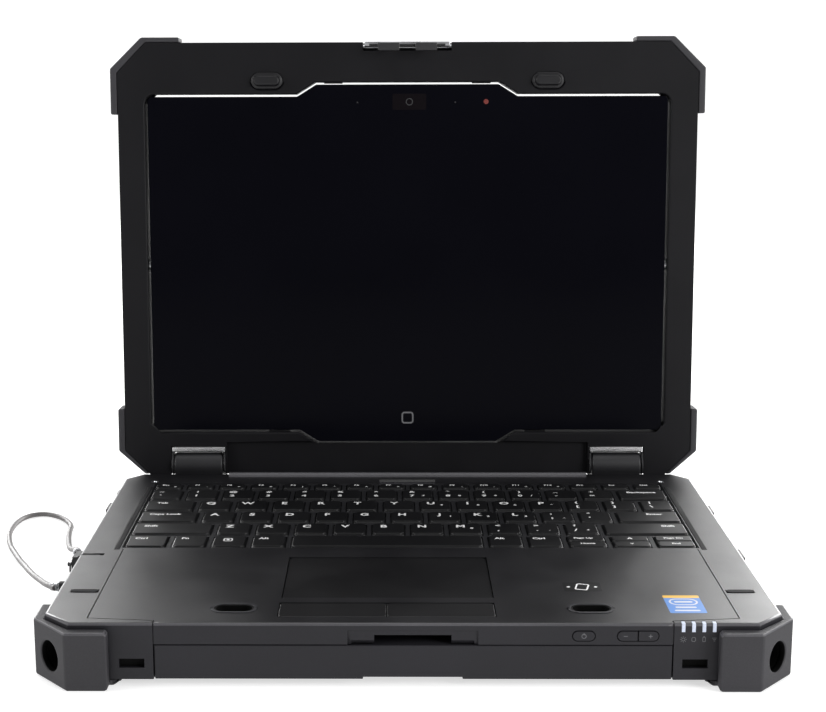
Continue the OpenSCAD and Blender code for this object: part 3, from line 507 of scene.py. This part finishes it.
def on_lid(x, z, proud):
    """A plane on the front of the lid's glass, with its Y up the lid."""
    face = lid_box("screen_glass")[0].y
    return LID @ facing_front(x, face - proud, z)


def screw_head(bm, place, radius, height):
    """A pan head with a cross recess. Its underside is at place, and it stands up along Z."""
    made = bmesh.ops.create_circle(bm, cap_ends=True, segments=24, radius=radius)["verts"]
    base = made[0].link_faces[0]
    top = bmesh.ops.extrude_face_region(bm, geom=[base])["geom"]
    rim = [v for v in top if isinstance(v, bmesh.types.BMVert)]
    bmesh.ops.translate(bm, vec=(0, 0, height), verts=rim)
    crown = next(f for f in top if isinstance(f, bmesh.types.BMFace))
    shoulder = bmesh.ops.inset_region(bm, faces=[crown], thickness=radius * 0.22, depth=height * 0.25)
    socket = bmesh.ops.inset_region(bm, faces=[crown], thickness=radius * 0.3)
    pit = bmesh.ops.inset_region(bm, faces=[crown], thickness=radius * 0.1, depth=-height * 0.6)
    shape = {v for f in [*shoulder["faces"], *socket["faces"], *pit["faces"], crown] for v in f.verts}
    shape |= set(made) | set(rim)
    bmesh.ops.transform(bm, matrix=place, verts=list(shape))


# ---------- properties ----------


def length(name, description, default):
    return FloatProperty(name=name, description=description, default=default, unit="LENGTH", precision=5)


def colour(name, description, default):
    return FloatVectorProperty(
        name=name, description=description, default=default, subtype="COLOR", size=3, min=0, max=1
    )


class LaptopSizes(bpy.types.PropertyGroup):
    """Roundings and print sizes"""

    shell_edge: length("Shell edge", "Rounding of the edges of the shells", 0.0004)
    deck_edge: length("Deck edge", "Rounding of the rim of the deck", 0.0011)
    bumper_edge: length("Bumper edge", "Rounding of the bumpers", 0.0009)
    key_edge: length("Key edge", "Rounding of the key tops", 0.0004)
    opening_edge: length("Opening edge", "Rounding round the opening of the lid frame", 0.001)
    opening_corner: length("Opening corner", "Radius of the corners of the lid's opening", 0.005)
    letter_size: length("Letter size", "Size of the letters on the keys", 0.0052)
    small_size: length("Small letter size", "Size of the words on the keys", 0.0032)
    cord_radius: length("Cord radius", "Radius of the tether cord", 0.0013)
    print_lift: length("Print lift", "How far a print stands off its surface", 0.00003)


class LaptopColours(bpy.types.PropertyGroup):
    """Colours of the main finishes"""

    shell: colour("Shell", "Charcoal plastic of the shells", (0.0135, 0.013, 0.0165))
    bumper: colour("Bumper", "Rubber of the bumpers", (0.026, 0.025, 0.029))
    key: colour("Key", "Plastic of the keys", (0.0035, 0.0035, 0.0042))
    pad: colour("Touchpad", "Plastic of the touchpad", (0.0023, 0.0021, 0.0028))
    cord: colour("Cord", "Cover of the tether cord", (0.12, 0.113, 0.112))
    legend: colour("Legend", "Print on the keys", (0.78, 0.78, 0.78))
    label: colour("Label", "Label on the palm rest", (0.09, 0.24, 0.6))


# ---------- operators ----------


class LAPTOP_OT_camera(bpy.types.Operator):
    """Place the camera in front of the open laptop"""

    bl_idname = "laptop.camera"
    bl_label = "Camera"

    def execute(self, context):
        lens = bpy.data.cameras.new("camera")
        lens.sensor_width = 36
        lens.lens = 67.14
        lens.shift_x = 0.0466
        lens.shift_y = -0.0248
        lens.clip_start = 0.01
        camera = bpy.data.objects.new("camera", lens)
        yaw, pitch, roll = -0.0108, 0.18898, -0.003
        level = math.cos(pitch)
        ahead = Vector((math.sin(yaw) * level, math.cos(yaw) * level, -math.sin(pitch)))
        camera.rotation_mode = "QUATERNION"
        camera.rotation_quaternion = ahead.to_track_quat("-Z", "Y") @ Quaternion((0, 0, 1), roll)
        camera.location = (-0.00869, -0.70191, 0.25569)
        context.scene.collection.objects.link(camera)
        context.scene.camera = camera
        return {"FINISHED"}


# The tether's route from the head of the stylus, round on the table and up to its clip, in millimetres
TETHER = [
    (-155.9, -61.5, 20.8), (-159, -57, 20), (-163.4, -48.8, 18.3), (-167, -40.4, 16.5),
    (-171, -31, 14.5), (-175.5, -20, 12.2), (-180.3, -8, 10), (-185.3, 5, 7.7),
    (-190.4, 17.7, 5.6), (-195, 29.5, 4), (-199.1, 40.3, 2.6), (-204.2, 53.5, 1.5),
    (-207.4, 64, 1.4), (-209.6, 74, 1.4), (-210.4, 84, 1.4), (-209.9, 94, 1.4), (-207.4, 102, 1.4),
    (-203, 106.4, 1.4), (-197.6, 107, 1.4), (-192.4, 104.6, 1.4), (-187, 99.6, 1.4),
    (-182.6, 93, 1.4), (-179.4, 85, 1.6), (-178.2, 76, 2.1), (-176.4, 65, 3.2), (-173.8, 52, 4.8),
    (-171, 39.5, 6.8), (-167.8, 27, 9.1), (-163.8, 14, 12.8), (-159.8, 1, 17), (-156.6, -10, 20.6),
    (-154.4, -19.4, 22.4)]


def strand(name, spots, radius, finish, body):
    """A round strand through spots, as a curve piece."""
    curve = bpy.data.curves.new(name, "CURVE")
    curve.dimensions = "3D"
    curve.bevel_depth = radius
    curve.bevel_resolution = 4
    curve.resolution_u = 6
    curve.use_fill_caps = True
    line = curve.splines.new("BEZIER")
    line.bezier_points.add(len(spots) - 1)
    for knot, spot in zip(line.bezier_points, spots):
        knot.co = spot
        knot.handle_left_type = knot.handle_right_type = "AUTO"
    curve.materials.append(FINISHES[finish])
    made = bpy.data.objects.new(name, curve)
    bpy.context.scene.collection.objects.link(made)
    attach(made, body)
    return made


class LAPTOP_OT_tether(bpy.types.Operator):
    """Lay the tether cord with its sleeves"""

    bl_idname = "laptop.tether"
    bl_label = "Tether"

    def execute(self, context):
        make_finishes(context.scene.laptop_colours)
        radius = context.scene.laptop_sizes.cord_radius
        spots = [Vector(spot) * MM for spot in TETHER]
        cord = strand("tether_cord_cover", spots, radius, "cord_rubber", "base")
        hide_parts("tether_cord")
        head = Vector((box_of("stylus")[0].x, spots[0].y + 1.3 * MM, spots[0].z))
        ends = [(head, spots[1]), (spots[-1], spots[-2])]
        pieces = [self.sleeve(f"sleeve_{side}", near, far, radius) for side, (near, far) in zip("ab", ends)]
        rounded("tether_clip", 0.00015, 1)
        total = sum((b - a).length for a, b in zip(spots, spots[1:]))
        return {"FINISHED"}

    def sleeve(self, name, start, along, radius):
        """A clear sleeve with a waist, over the cord's end."""
        bm = bmesh.new()
        profile = [(0.0, 1.15), (0.25, 1.5), (1.6, 1.55), (2.2, 1.35), (2.8, 1.55), (4.4, 1.5), (5.0, 1.2)]
        ring = [bm.verts.new((radius * 1.02, 0, 0))]
        ring += [bm.verts.new((radius * share, 0, MM * step)) for step, share in profile]
        ring += [bm.verts.new((radius * 1.02, 0, MM * 5.0))]
        edges = [bm.edges.new(pair) for pair in zip(ring, ring[1:])]
        edges.append(bm.edges.new((ring[-1], ring[0])))
        bmesh.ops.spin(
            bm, geom=ring + edges, cent=(0, 0, 0), axis=(0, 0, 1), angle=math.tau, steps=20, use_merge=True
        )
        bmesh.ops.remove_doubles(bm, verts=bm.verts, dist=MM * 0.001)
        bmesh.ops.recalc_face_normals(bm, faces=bm.faces)
        turn = (along - start).to_track_quat("Z", "Y").to_matrix().to_4x4()
        bmesh.ops.transform(bm, matrix=Matrix.Translation(start) @ turn, verts=bm.verts)
        return add_piece(name, bm, "base", "sleeve", "cord_rubber")


# Rim of the deck: tolerance, reach of the cut front and back corners, where the back ones begin, and the
# shortest edge that counts
RIM_NEAR = 0.1 * MM
RIM_FRONT_CORNER = 12 * MM
RIM_BACK_CORNER = 8 * MM
RIM_BACK_START = 195 * MM
RIM_SHORTEST = 0.9 * MM


def rim_of_deck(edge):
    """True for the outer rim of the deck's top."""
    low, high = box_of("top_cover")
    one, two = (v.co for v in edge.verts)
    middle = (one + two) / 2
    flat = all(abs(v.z - deck_top()) < RIM_NEAR for v in (one, two))
    side = abs(middle.x) > high.x - RIM_NEAR
    front = middle.y < low.y + RIM_NEAR
    corner = abs(middle.x) > high.x - RIM_FRONT_CORNER and middle.y < low.y + RIM_FRONT_CORNER
    corner_back = abs(middle.x) > high.x - RIM_BACK_CORNER and middle.y > low.y + RIM_BACK_START
    return flat and (side or front or corner or corner_back) and (one - two).length > RIM_SHORTEST


def deck_top():
    """Height of the deck, which the rubber bars stand 0.3 mm above."""
    return box_of("deck_rubbers")[1].z - 0.3 * MM


# Tie-down socket: its mouth from the bumper's outer corner, its direction, reach and depth
TIE_MOUTH = (7.9 * MM, 8.7 * MM, 11.6 * MM)
TIE_AXIS = (17.4, -15.8, 0)
TIE_REACH = 6.8 * MM
TIE_DEPTH = (-12 * MM, -0.5 * MM)


def in_hollow(face):
    """True inside the tie-down sockets."""
    spot = face.center
    low, high = box_of("front_bumper_right")
    mouth = Vector((high.x - TIE_MOUTH[0], low.y + TIE_MOUTH[1], TIE_MOUTH[2]))
    axis = Vector(TIE_AXIS).normalized()
    across = Vector((abs(spot.x), spot.y, spot.z)) - mouth
    along = across.dot(axis)
    near = (across - axis * along).length < TIE_REACH
    return near and TIE_DEPTH[0] < along < TIE_DEPTH[1]


# Rims with a painted highlight: how far a face there tips towards the top, and the height from which they
# count
RIM_TIP = (0.25, 0.96)
RIM_FLOOR = 20 * MM


def on_rim(face):
    """True for the rim of the deck or a bumper, between its top and its side, which gets a painted highlight.
    """
    return RIM_TIP[0] < face.normal.z < RIM_TIP[1] and face.center.z > RIM_FLOOR


class LAPTOP_OT_base(bpy.types.Operator):
    """Finish the shells and bumpers of the base"""

    bl_idname = "laptop.base"
    bl_label = "Base shells and bumpers"

    def execute(self, context):
        sizes = context.scene.laptop_sizes
        shell = rounded("bottom_shell", sizes.shell_edge * 0.6, 2)
        # Painted shade inside the tie-down socket
        repaint(shell, "painted_shade_hollow", in_hollow)
        cover = rounded("top_cover", sizes.deck_edge, 3, "deck_plastic", rim_of_deck)
        brink = deck_top() - sizes.deck_edge
        repaint(cover, "shell_plastic", lambda face: face.center.z < brink)
        # Painted highlight on the deck's rim faces, lighter than the deck
        repaint(cover, "rim_painted_highlight", lambda face: on_rim(face) and face.center.z > brink)
        rounded("battery_pack", sizes.shell_edge, 2)
        for bumper in ("front_bumper_left", "front_bumper_right", "rear_bumpers"):
            piece = rounded(bumper, sizes.bumper_edge, 3)
            # Painted highlight on the bumper's rim faces
            repaint(piece, "rim_painted_highlight", on_rim)
            # Painted shade inside the bumper's tie-down socket
            repaint(piece, "painted_shade_hollow", in_hollow)
        rounded("hinge_knuckles", 0.0009, 3)
        for door in ("port_door_left", "port_door_right", "drive_door"):
            rounded(door, 0.0003, 2)
        rounded("touchpad", 0.0003, 2)
        rounded("deck_rubbers", 0.0003, 2)
        rounded("stylus", 0.0004, 3)
        rounded("battery_latch", 0.0002, 2)
        for node in ("keyboard_plate", "mainboard", "fan_housing", "fan_rotor", "heatsink", "storage_drive"):
            dress(node)
        dress("key_frame", "frame_plastic")
        dress("port_sockets")
        # Painted shade: the peg sockets and speakers are near-black for the shade inside them
        dress("peg_sockets", "painted_shade_hollow")
        dress("speakers", "painted_shade_hollow")
        dress("light_pipes", "light_pipe")
        return {"FINISHED"}


class LAPTOP_OT_details(bpy.types.Operator):
    """Add rims, prints, labels and screw heads to the base"""

    bl_idname = "laptop.details"
    bl_label = "Details of the base"

    def execute(self, context):
        lift = context.scene.laptop_sizes.print_lift
        self.rims(deck_top())
        self.deck_prints(deck_top() + lift)
        self.front_prints(lift)
        self.screws()
        return {"FINISHED"}

    def rims(self, deck):
        bm = bmesh.new()
        for low, high in solids_of("peg_sockets"):
            middle = (low + high) / 2
            size = high - low
            place = at(middle.x, middle.y, deck + 0.02 * MM)
            patch(bm, size.x + 1.4 * MM, size.y + 1.4 * MM, place, size.y, 1.5 * MM, 10)
        walls = bmesh.ops.extrude_face_region(bm, geom=bm.faces[:])["geom"]
        raised = [v for v in walls if isinstance(v, bmesh.types.BMVert)]
        bmesh.ops.translate(bm, vec=(0, 0, 0.22 * MM), verts=raised)
        bmesh.ops.recalc_face_normals(bm, faces=bm.faces)
        round_edges(bm, 0.12 * MM, 2, angle=50)
        add_piece("socket_rims", bm, "base", "shell_plastic", "shell_plastic")

    def deck_prints(self, height):
        corner = box_of("front_bumper_right")
        front = corner[0].y
        icon = Vector((0.0726, front + 0.0473, height))
        plate, mark = bmesh.new(), bmesh.new()
        patch(plate, 16 * MM, 11 * MM, at(icon.x, icon.y, height), 1 * MM)
        lean = Matrix.Rotation(math.radians(-14), 4, "Z")
        upright = at(icon.x, icon.y, height + 0.02 * MM) @ lean
        patch(mark, 5.6 * MM, 7.4 * MM, upright, 1.2 * MM, 0.7 * MM)
        for side in (-1, 1):
            disc(mark, 0.75 * MM, at(icon.x + side * 5.8 * MM, icon.y, height + 0.02 * MM))
        add_piece("touch_spot_plate", plate, "base", "pad_plastic")
        add_piece("touch_spot_mark", mark, "base", "legend")
        blue, yellow, pale = bmesh.new(), bmesh.new(), bmesh.new()
        spot = Vector((0.11235, front + 0.02695))
        patch(blue, 15.1 * MM, 20.3 * MM, at(spot.x, spot.y, height), 0.8 * MM)
        patch(yellow, 15.1 * MM, 3 * MM, at(spot.x, spot.y + 8.65 * MM, height + 0.02 * MM), 0.6 * MM)
        patch(pale, 12 * MM, 7.4 * MM, at(spot.x, spot.y + 2.6 * MM, height + 0.02 * MM), 4 * MM, 0.8 * MM, 8)
        patch(pale, 7.6 * MM, 1.6 * MM, at(spot.x, spot.y + 2.6 * MM, height + 0.02 * MM), 0.5 * MM)
        for row, wide in ((-3.6, 8.6), (-7.2, 10.4)):
            patch(pale, wide * MM, 1.5 * MM, at(spot.x, spot.y + row * MM, height + 0.02 * MM), 0.5 * MM)
        add_piece("label_ground", blue, "base", "label_blue")
        add_piece("label_band", yellow, "base", "label_yellow")
        add_piece("label_marks", pale, "base", "pale_print")

    def front_prints(self, lift):
        """Faint marks on the buttons and under the lights."""
        for node, mark in (("power_button", "ring"), ("volume_down", "bar"), ("volume_up", "cross")):
            low, high = box_of(node)
            middle = (low + high) / 2
            middle.x += {"volume_down": -0.4, "volume_up": 0.4, "power_button": 0}[node] * MM
            place = facing_front(middle.x, low.y - lift, middle.z)
            bm = bmesh.new()
            if mark == "ring":
                disc(bm, 1.0 * MM, place, 0.25 * MM)
                patch(bm, 0.25 * MM, 1.0 * MM, place @ at(0, 0.9 * MM, lift))
            else:
                patch(bm, 1.6 * MM, 0.28 * MM, place)
            if mark == "cross":
                patch(bm, 0.28 * MM, 1.6 * MM, place @ at(0, 0, lift))
            add_piece(node + "_mark", bm, body_of(node), "faint_print")
        bm = bmesh.new()
        for index, (low, high) in enumerate(solids_of("light_pipes")):
            middle = (low + high) / 2
            place = facing_front(middle.x, low.y - lift, low.z - 3.1 * MM)
            if index == 0:
                disc(bm, 0.75 * MM, place, 0.2 * MM)
                for turn in range(8):
                    ray = Matrix.Rotation(turn * math.tau / 8, 4, "Z")
                    patch(bm, 0.18 * MM, 0.4 * MM, place @ ray @ at(0, 1.15 * MM, 0))
            elif index == 1:
                patch(bm, 1.7 * MM, 1.9 * MM, place, 0.6 * MM, 0.22 * MM)
            elif index == 2:
                patch(bm, 1.2 * MM, 2.0 * MM, place, 0.2 * MM, 0.22 * MM)
                patch(bm, 0.6 * MM, 0.3 * MM, place @ at(0, 1.2 * MM, 0))
            else:
                for step in (0.7, 1.3, 1.9):
                    patch(bm, step * MM, 0.22 * MM, place @ at(0, (step - 1.3) * MM, 0))
        add_piece("light_marks", bm, "base", "faint_print")

    def screws(self):
        bm = bmesh.new()
        for low, high in solids_of("deck_screws"):
            middle = (low + high) / 2
            screw_head(bm, at(middle.x, middle.y, high.z - 1.0 * MM), 2.05 * MM, 0.85 * MM)
        heads = add_piece("deck_screw_heads", bm, "base", "steel", "steel")
        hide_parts("deck_screws")
        bm = bmesh.new()
        flip = Matrix.Rotation(math.pi, 4, "X")
        for low, high in solids_of("bottom_screws"):
            middle = (low + high) / 2
            screw_head(bm, at(middle.x, middle.y, low.z + 0.9 * MM) @ flip, 2.9 * MM, 0.7 * MM)
        heads = add_piece("bottom_screw_heads", bm, "base", "steel", "steel")
        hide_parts("bottom_screws")


# What each key shows: words, size in letter sizes, and place as shares of the key's width and depth
def letter(words):
    return [(words, 1.0, 0.34, 0.68)]


def pair(upper, lower, extra=""):
    marks = [(upper, 0.72, 0.3, 0.76), (lower, 0.8, 0.3, 0.32)]
    return marks + ([(extra, 0.5, 0.7, 0.32)] if extra else [])


def with_digit(words, digit):
    return letter(words) + [(digit, 0.5, 0.7, 0.5)]


def word(words, across=0.32, down=0.72):
    return [(words, 0.62, across, down)]


def top_key(words, mark):
    return [(words, 0.48, 0.36, 0.66), (mark, 0.42, 0.76, 0.3)]


LEGENDS = {
    "function_keys": [top_key("Esc", "o")]
    + [top_key(f"F{i + 1}", mark) for i, mark in enumerate("-+=|*<>#:-+=")]
    + [top_key("Prt", ""), top_key("Ins", ""), top_key("Del", "")],
    "number_keys": [pair("~", "`"), pair("!", "1"), pair("@", "2")]
    + [pair("#", "3"), pair("$", "4"), pair("%", "5")]
    + [pair("^", "6"), pair("&", "7", "7"), pair("*", "8", "8"), pair("(", "9", "9"), pair(")", "0", "/")]
    + [pair("_", "-"), pair("+", "=")],
    "backspace_key": [word("Backspace", 0.5, 0.7)],
    "upper_keys": [word("Tab")]
    + [letter(name) for name in "QWERTY"]
    + [with_digit("U", "4"), with_digit("I", "5"), with_digit("O", "6"), with_digit("P", "*")]
    + [pair("{", "["), pair("}", "]"), pair("|", "\\")],
    "home_keys": [word("Caps Lock", 0.42)]
    + [letter(name) for name in "ASDFGH"]
    + [with_digit("J", "1"), with_digit("K", "2"), with_digit("L", "3"), pair(":", ";", "-"), pair('"', "'")],
    "enter_key": [word("Enter", 0.62)],
    "lower_keys": [word("Shift", 0.2)]
    + [letter(name) for name in "ZXCVBN"]
    + [with_digit("M", "0"), pair("<", ","), pair(">", ".", "."), pair("?", "/", "+"), word("Shift", 0.8)],
    "bottom_keys": [word("Ctrl"), word("Fn"), [], word("Alt"), word("Alt"), word("Ctrl")],
    "arrow_keys": [
        [("Page Up", 0.46, 0.42, 0.5)], [("Home", 0.46, 0.5, 0.5)], [("^", 0.9, 0.5, 0.3)],
        [("v", 0.6, 0.5, 0.5)], [("Page Dn", 0.46, 0.5, 0.5)], [("End", 0.46, 0.5, 0.5)],
    ],
}


class LAPTOP_OT_keyboard(bpy.types.Operator):
    """Finish the keys and print their legends"""

    bl_idname = "laptop.keyboard"
    bl_label = "Keyboard"

    def execute(self, context):
        sizes = context.scene.laptop_sizes
        for node in (*LEGENDS, "space_key"):
            rounded(node, sizes.key_edge, 2)
        for node, legends in LEGENDS.items():
            self.legends(node, legends, sizes)
        for node in ("power_button", "volume_down", "volume_up"):
            rounded(node, 0.00025, 2)
        for node in ("touch_button_left", "touch_button_right"):
            rounded(node, 0.0004, 2)
        return {"FINISHED"}

    def legends(self, node, legends, sizes):
        bm = bmesh.new()
        keys = solids_of(node)
        if len(keys) != len(legends):
            raise RuntimeError(f"{node} has {len(keys)} keys and {len(legends)} legends")
        for (low, high), marks in zip(keys, legends):
            skirt = 0.5 * MM
            size = high - low
            for words, share, across, up in marks:
                if not words:
                    continue
                place = at(
                    low.x + skirt + (size.x - 2 * skirt) * across,
                    low.y + skirt + (size.y - 2 * skirt) * up,
                    high.z + sizes.print_lift,
                )
                lettering(bm, words, sizes.letter_size * share, place, 1.12)
        if node == "bottom_keys":
            low, high = keys[2]
            middle = (low + high) / 2
            place = at(middle.x - 0.8 * MM, middle.y + 1.2 * MM, high.z + sizes.print_lift)
            patch(bm, 4.4 * MM, 4.4 * MM, place, 1.2 * MM, 0.6 * MM)
            disc(bm, 0.8 * MM, place)
        add_piece(node + "_legends", bm, body_of(node), "legend")


def in_screen_corner(edge):
    """True for the edges that run through the lid at the corners of its opening or of the screen."""
    one, two = (INTO_LID @ v.co for v in edge.verts)
    low, high = lid_box("screen_glass")
    reach = 6 * MM
    run = two - one
    through = abs(run.y) > 0.3 * MM and abs(run.x) + abs(run.z) < 0.01 * MM
    beside = high.x - reach < abs(one.x) < high.x + reach
    return through and beside and low.z - reach < one.z < high.z + reach


class LAPTOP_OT_lid(bpy.types.Operator):
    """Finish the lid frame, hinges and latch"""

    bl_idname = "laptop.lid"
    bl_label = "Lid, hinges and latch"

    def execute(self, context):
        sizes = context.scene.laptop_sizes
        face = lid_box("lid_front_frame")[0].y
        glass = lid_box("screen_glass")

        around = 2 * MM

        def near_opening(edge):
            spots = [INTO_LID @ v.co for v in edge.verts]
            beside = all(abs(s.x) < glass[1].x + around for s in spots)
            return beside and all(glass[0].z - around < s.z < glass[1].z + around for s in spots)

        def around_opening(edge):
            level = all(abs((INTO_LID @ v.co).y - face) < 0.05 * MM for v in edge.verts)
            return level and near_opening(edge)

        corners = (sizes.opening_corner, 5, in_screen_corner)
        rounded("lid_front_frame", sizes.opening_edge, 3, "lid_plastic", around_opening, first=corners)
        rounded("lid_rear_frame", 0.0007, 3, "lid_plastic", lambda edge: not near_opening(edge))
        for bumper in ("upper_lid_bumpers", "lower_lid_bumpers"):
            rounded(bumper, sizes.bumper_edge, 3)
        rounded("lid_pegs", 0.001, 4, "peg_plastic")
        strip = lid_box("hinge_brackets")[1].z - 2.7 * MM
        plane = (LID @ Vector((0, 0, strip)), LID.to_3x3() @ Vector((0, 0, 1)))
        brackets = rounded("hinge_brackets", 0.0008, 4, "bright_steel", cut=plane)
        repaint(brackets, "door_plastic", lambda face: (INTO_LID @ face.center).z < strip)
        rounded("latch_plate", 0.0004, 2)
        rounded("latch_hooks", 0.0003, 2)
        for node in ("hinge_pins", "screen_pivots", "latch_pin"):
            dress(node)
        return {"FINISHED"}


class LAPTOP_OT_screen(bpy.types.Operator):
    """Finish the flipping screen, with its camera window and marks"""

    bl_idname = "laptop.screen"
    bl_label = "Screen"

    def execute(self, context):
        lift = context.scene.laptop_sizes.print_lift
        low, high = lid_box("screen_glass")
        corners = (context.scene.laptop_sizes.opening_corner * 0.5, 5, in_screen_corner)
        rounded("screen_glass", 0.0004, 2, first=corners)

        def outer_rim(edge):
            return all((INTO_LID @ v.co).y > 0 for v in edge.verts)

        rounded("screen_cover", 0.0006, 3, "lid_plastic", outer_rim, first=corners)
        dress("lcd_panel")
        dress("webcam")
        window, lens, light, mark = (bmesh.new() for _ in range(4))
        patch(window, 17.6 * MM, 8.3 * MM, on_lid(1.1 * MM, high.z - 9 * MM, lift), 0.8 * MM)
        disc(lens, 1.9 * MM, on_lid(1.1 * MM, high.z - 9 * MM, 2 * lift), 0.5 * MM, 28)
        disc(light, 1.3 * MM, on_lid(41.1 * MM, high.z - 9 * MM, lift), 0, 24)
        for x in (-26, 25):
            disc(lens, 0.4 * MM, on_lid(x * MM, high.z - 9.3 * MM, lift))
        patch(mark, 6.4 * MM, 6.4 * MM, on_lid(0.2 * MM, low.z + 12.9 * MM, lift), 1.6 * MM, 0.8 * MM, 6)
        add_piece("camera_window", window, "screen", "lens")
        add_piece("camera_ring", lens, "screen", "door_plastic")
        add_piece("camera_light", light, "screen", "amber")
        add_piece("home_mark", mark, "screen", "faint_print")
        return {"FINISHED"}


def area_light(name, size, place, target, power, tint=(1, 1, 1)):
    light = bpy.data.lights.new(name, "AREA")
    light.shape = "RECTANGLE"
    light.size, light.size_y = size
    light.energy = power
    light.color = tint
    holder = bpy.data.objects.new(name, light)
    holder.location = place
    aim = Vector(target) - Vector(place)
    holder.rotation_mode = "QUATERNION"
    holder.rotation_quaternion = aim.to_track_quat("-Z", "Y")
    holder.visible_camera = False
    bpy.context.scene.collection.objects.link(holder)
    return holder


class LAPTOP_OT_stage(bpy.types.Operator):
    """Lay the pale floor and hang the studio lights"""

    bl_idname = "laptop.stage"
    bl_label = "Stage"

    def execute(self, context):
        self.sweep()
        world = bpy.data.worlds.new("studio")
        world.use_nodes = True
        world.node_tree.nodes["Background"].inputs["Color"].default_value = (1, 1, 1, 1)
        world.node_tree.nodes["Background"].inputs["Strength"].default_value = 0.22
        context.scene.world = world
        context.scene.view_settings.view_transform = "Standard"
        area_light("overhead", (1.6, 1.2), (0, 0.1, 1.7), (0, 0, 0), 12)
        area_light("left_box", (0.9, 0.8), (-0.95, 1.15, 0.5), (0, 0, 0.03), 21)
        area_light("right_box", (0.9, 0.8), (0.95, 1.15, 0.5), (0, 0, 0.03), 31)
        area_light("left_front_box", (0.6, 0.8), (-1.5, -0.5, 0.6), (0, 0, 0.1), 12)
        area_light("right_front_box", (0.6, 0.8), (1.3, -0.9, 0.6), (0, 0, 0.1), 22)
        return {"FINISHED"}

    def sweep(self):
        """A floor that curves up into a backdrop."""
        bm = bmesh.new()
        radius, near, far, half = 0.6, -2.6, 1.6, 3.0
        line = [bm.verts.new((-half, near, 0)), bm.verts.new((-half, far, 0))]
        for step in range(1, 9):
            angle = math.radians(90) * step / 8
            rise = radius * (1 - math.cos(angle))
            line.append(bm.verts.new((-half, far + radius * math.sin(angle), rise)))
        line.append(bm.verts.new((-half, far + radius, 3.2)))
        edges = [bm.edges.new(two) for two in zip(line, line[1:])]
        made = bmesh.ops.extrude_edge_only(bm, edges=edges)["geom"]
        moved = [v for v in made if isinstance(v, bmesh.types.BMVert)]
        bmesh.ops.translate(bm, vec=(2 * half, 0, 0), verts=moved)
        bmesh.ops.recalc_face_normals(bm, faces=bm.faces)
        if bm.faces[:][0].normal.z < 0:
            bmesh.ops.reverse_faces(bm, faces=bm.faces)
        mesh = bpy.data.meshes.new("sweep")
        bm.to_mesh(mesh)
        bm.free()
        paper = Finish("paper", Roughness=0.9, Emission_Strength=0.62, Specular_IOR_Level=0.1)
        fibre = paper.noise(0.25, 3.0)
        paper.feed("Base Color", paper.between(fibre, (0.54, 0.54, 0.54), (0.57, 0.57, 0.57)))
        paper.shader.inputs["Emission Color"].default_value = (1, 1, 1, 1)
        mesh.materials.append(paper.material)
        smooth_shaded(mesh, 60)
        floor = bpy.data.objects.new("sweep", mesh)
        bpy.context.scene.collection.objects.link(floor)


STEPS = (
    LAPTOP_OT_camera,
    LAPTOP_OT_tether,
    LAPTOP_OT_base,
    LAPTOP_OT_details,
    LAPTOP_OT_keyboard,
    LAPTOP_OT_lid,
    LAPTOP_OT_screen,
    LAPTOP_OT_stage,
)


class LAPTOP_PT_panel(bpy.types.Panel):
    """Buttons that build the laptop's looks"""

    bl_idname = "LAPTOP_PT_panel"
    bl_label = "Rugged laptop"
    bl_space_type = "VIEW_3D"
    bl_region_type = "UI"
    bl_category = "Laptop"

    def draw(self, context):
        for group in (context.scene.laptop_sizes, context.scene.laptop_colours):
            for name in group.bl_rna.properties.keys():
                if name not in {"rna_type", "name"}:
                    self.layout.prop(group, name)
        for step in STEPS:
            self.layout.operator(step.bl_idname)


CLASSES = (LaptopSizes, LaptopColours, *STEPS, LAPTOP_PT_panel)


def register():
    for kind in CLASSES:
        bpy.utils.register_class(kind)
    bpy.types.Scene.laptop_sizes = PointerProperty(type=LaptopSizes)
    bpy.types.Scene.laptop_colours = PointerProperty(type=LaptopColours)


def unregister():
    del bpy.types.Scene.laptop_sizes
    del bpy.types.Scene.laptop_colours
    for kind in reversed(CLASSES):
        bpy.utils.unregister_class(kind)


def main():
    register()
    for step in STEPS:
        group, action = step.bl_idname.split(".")
        getattr(getattr(bpy.ops, group), action)()


if __name__ == "__main__":
    main()
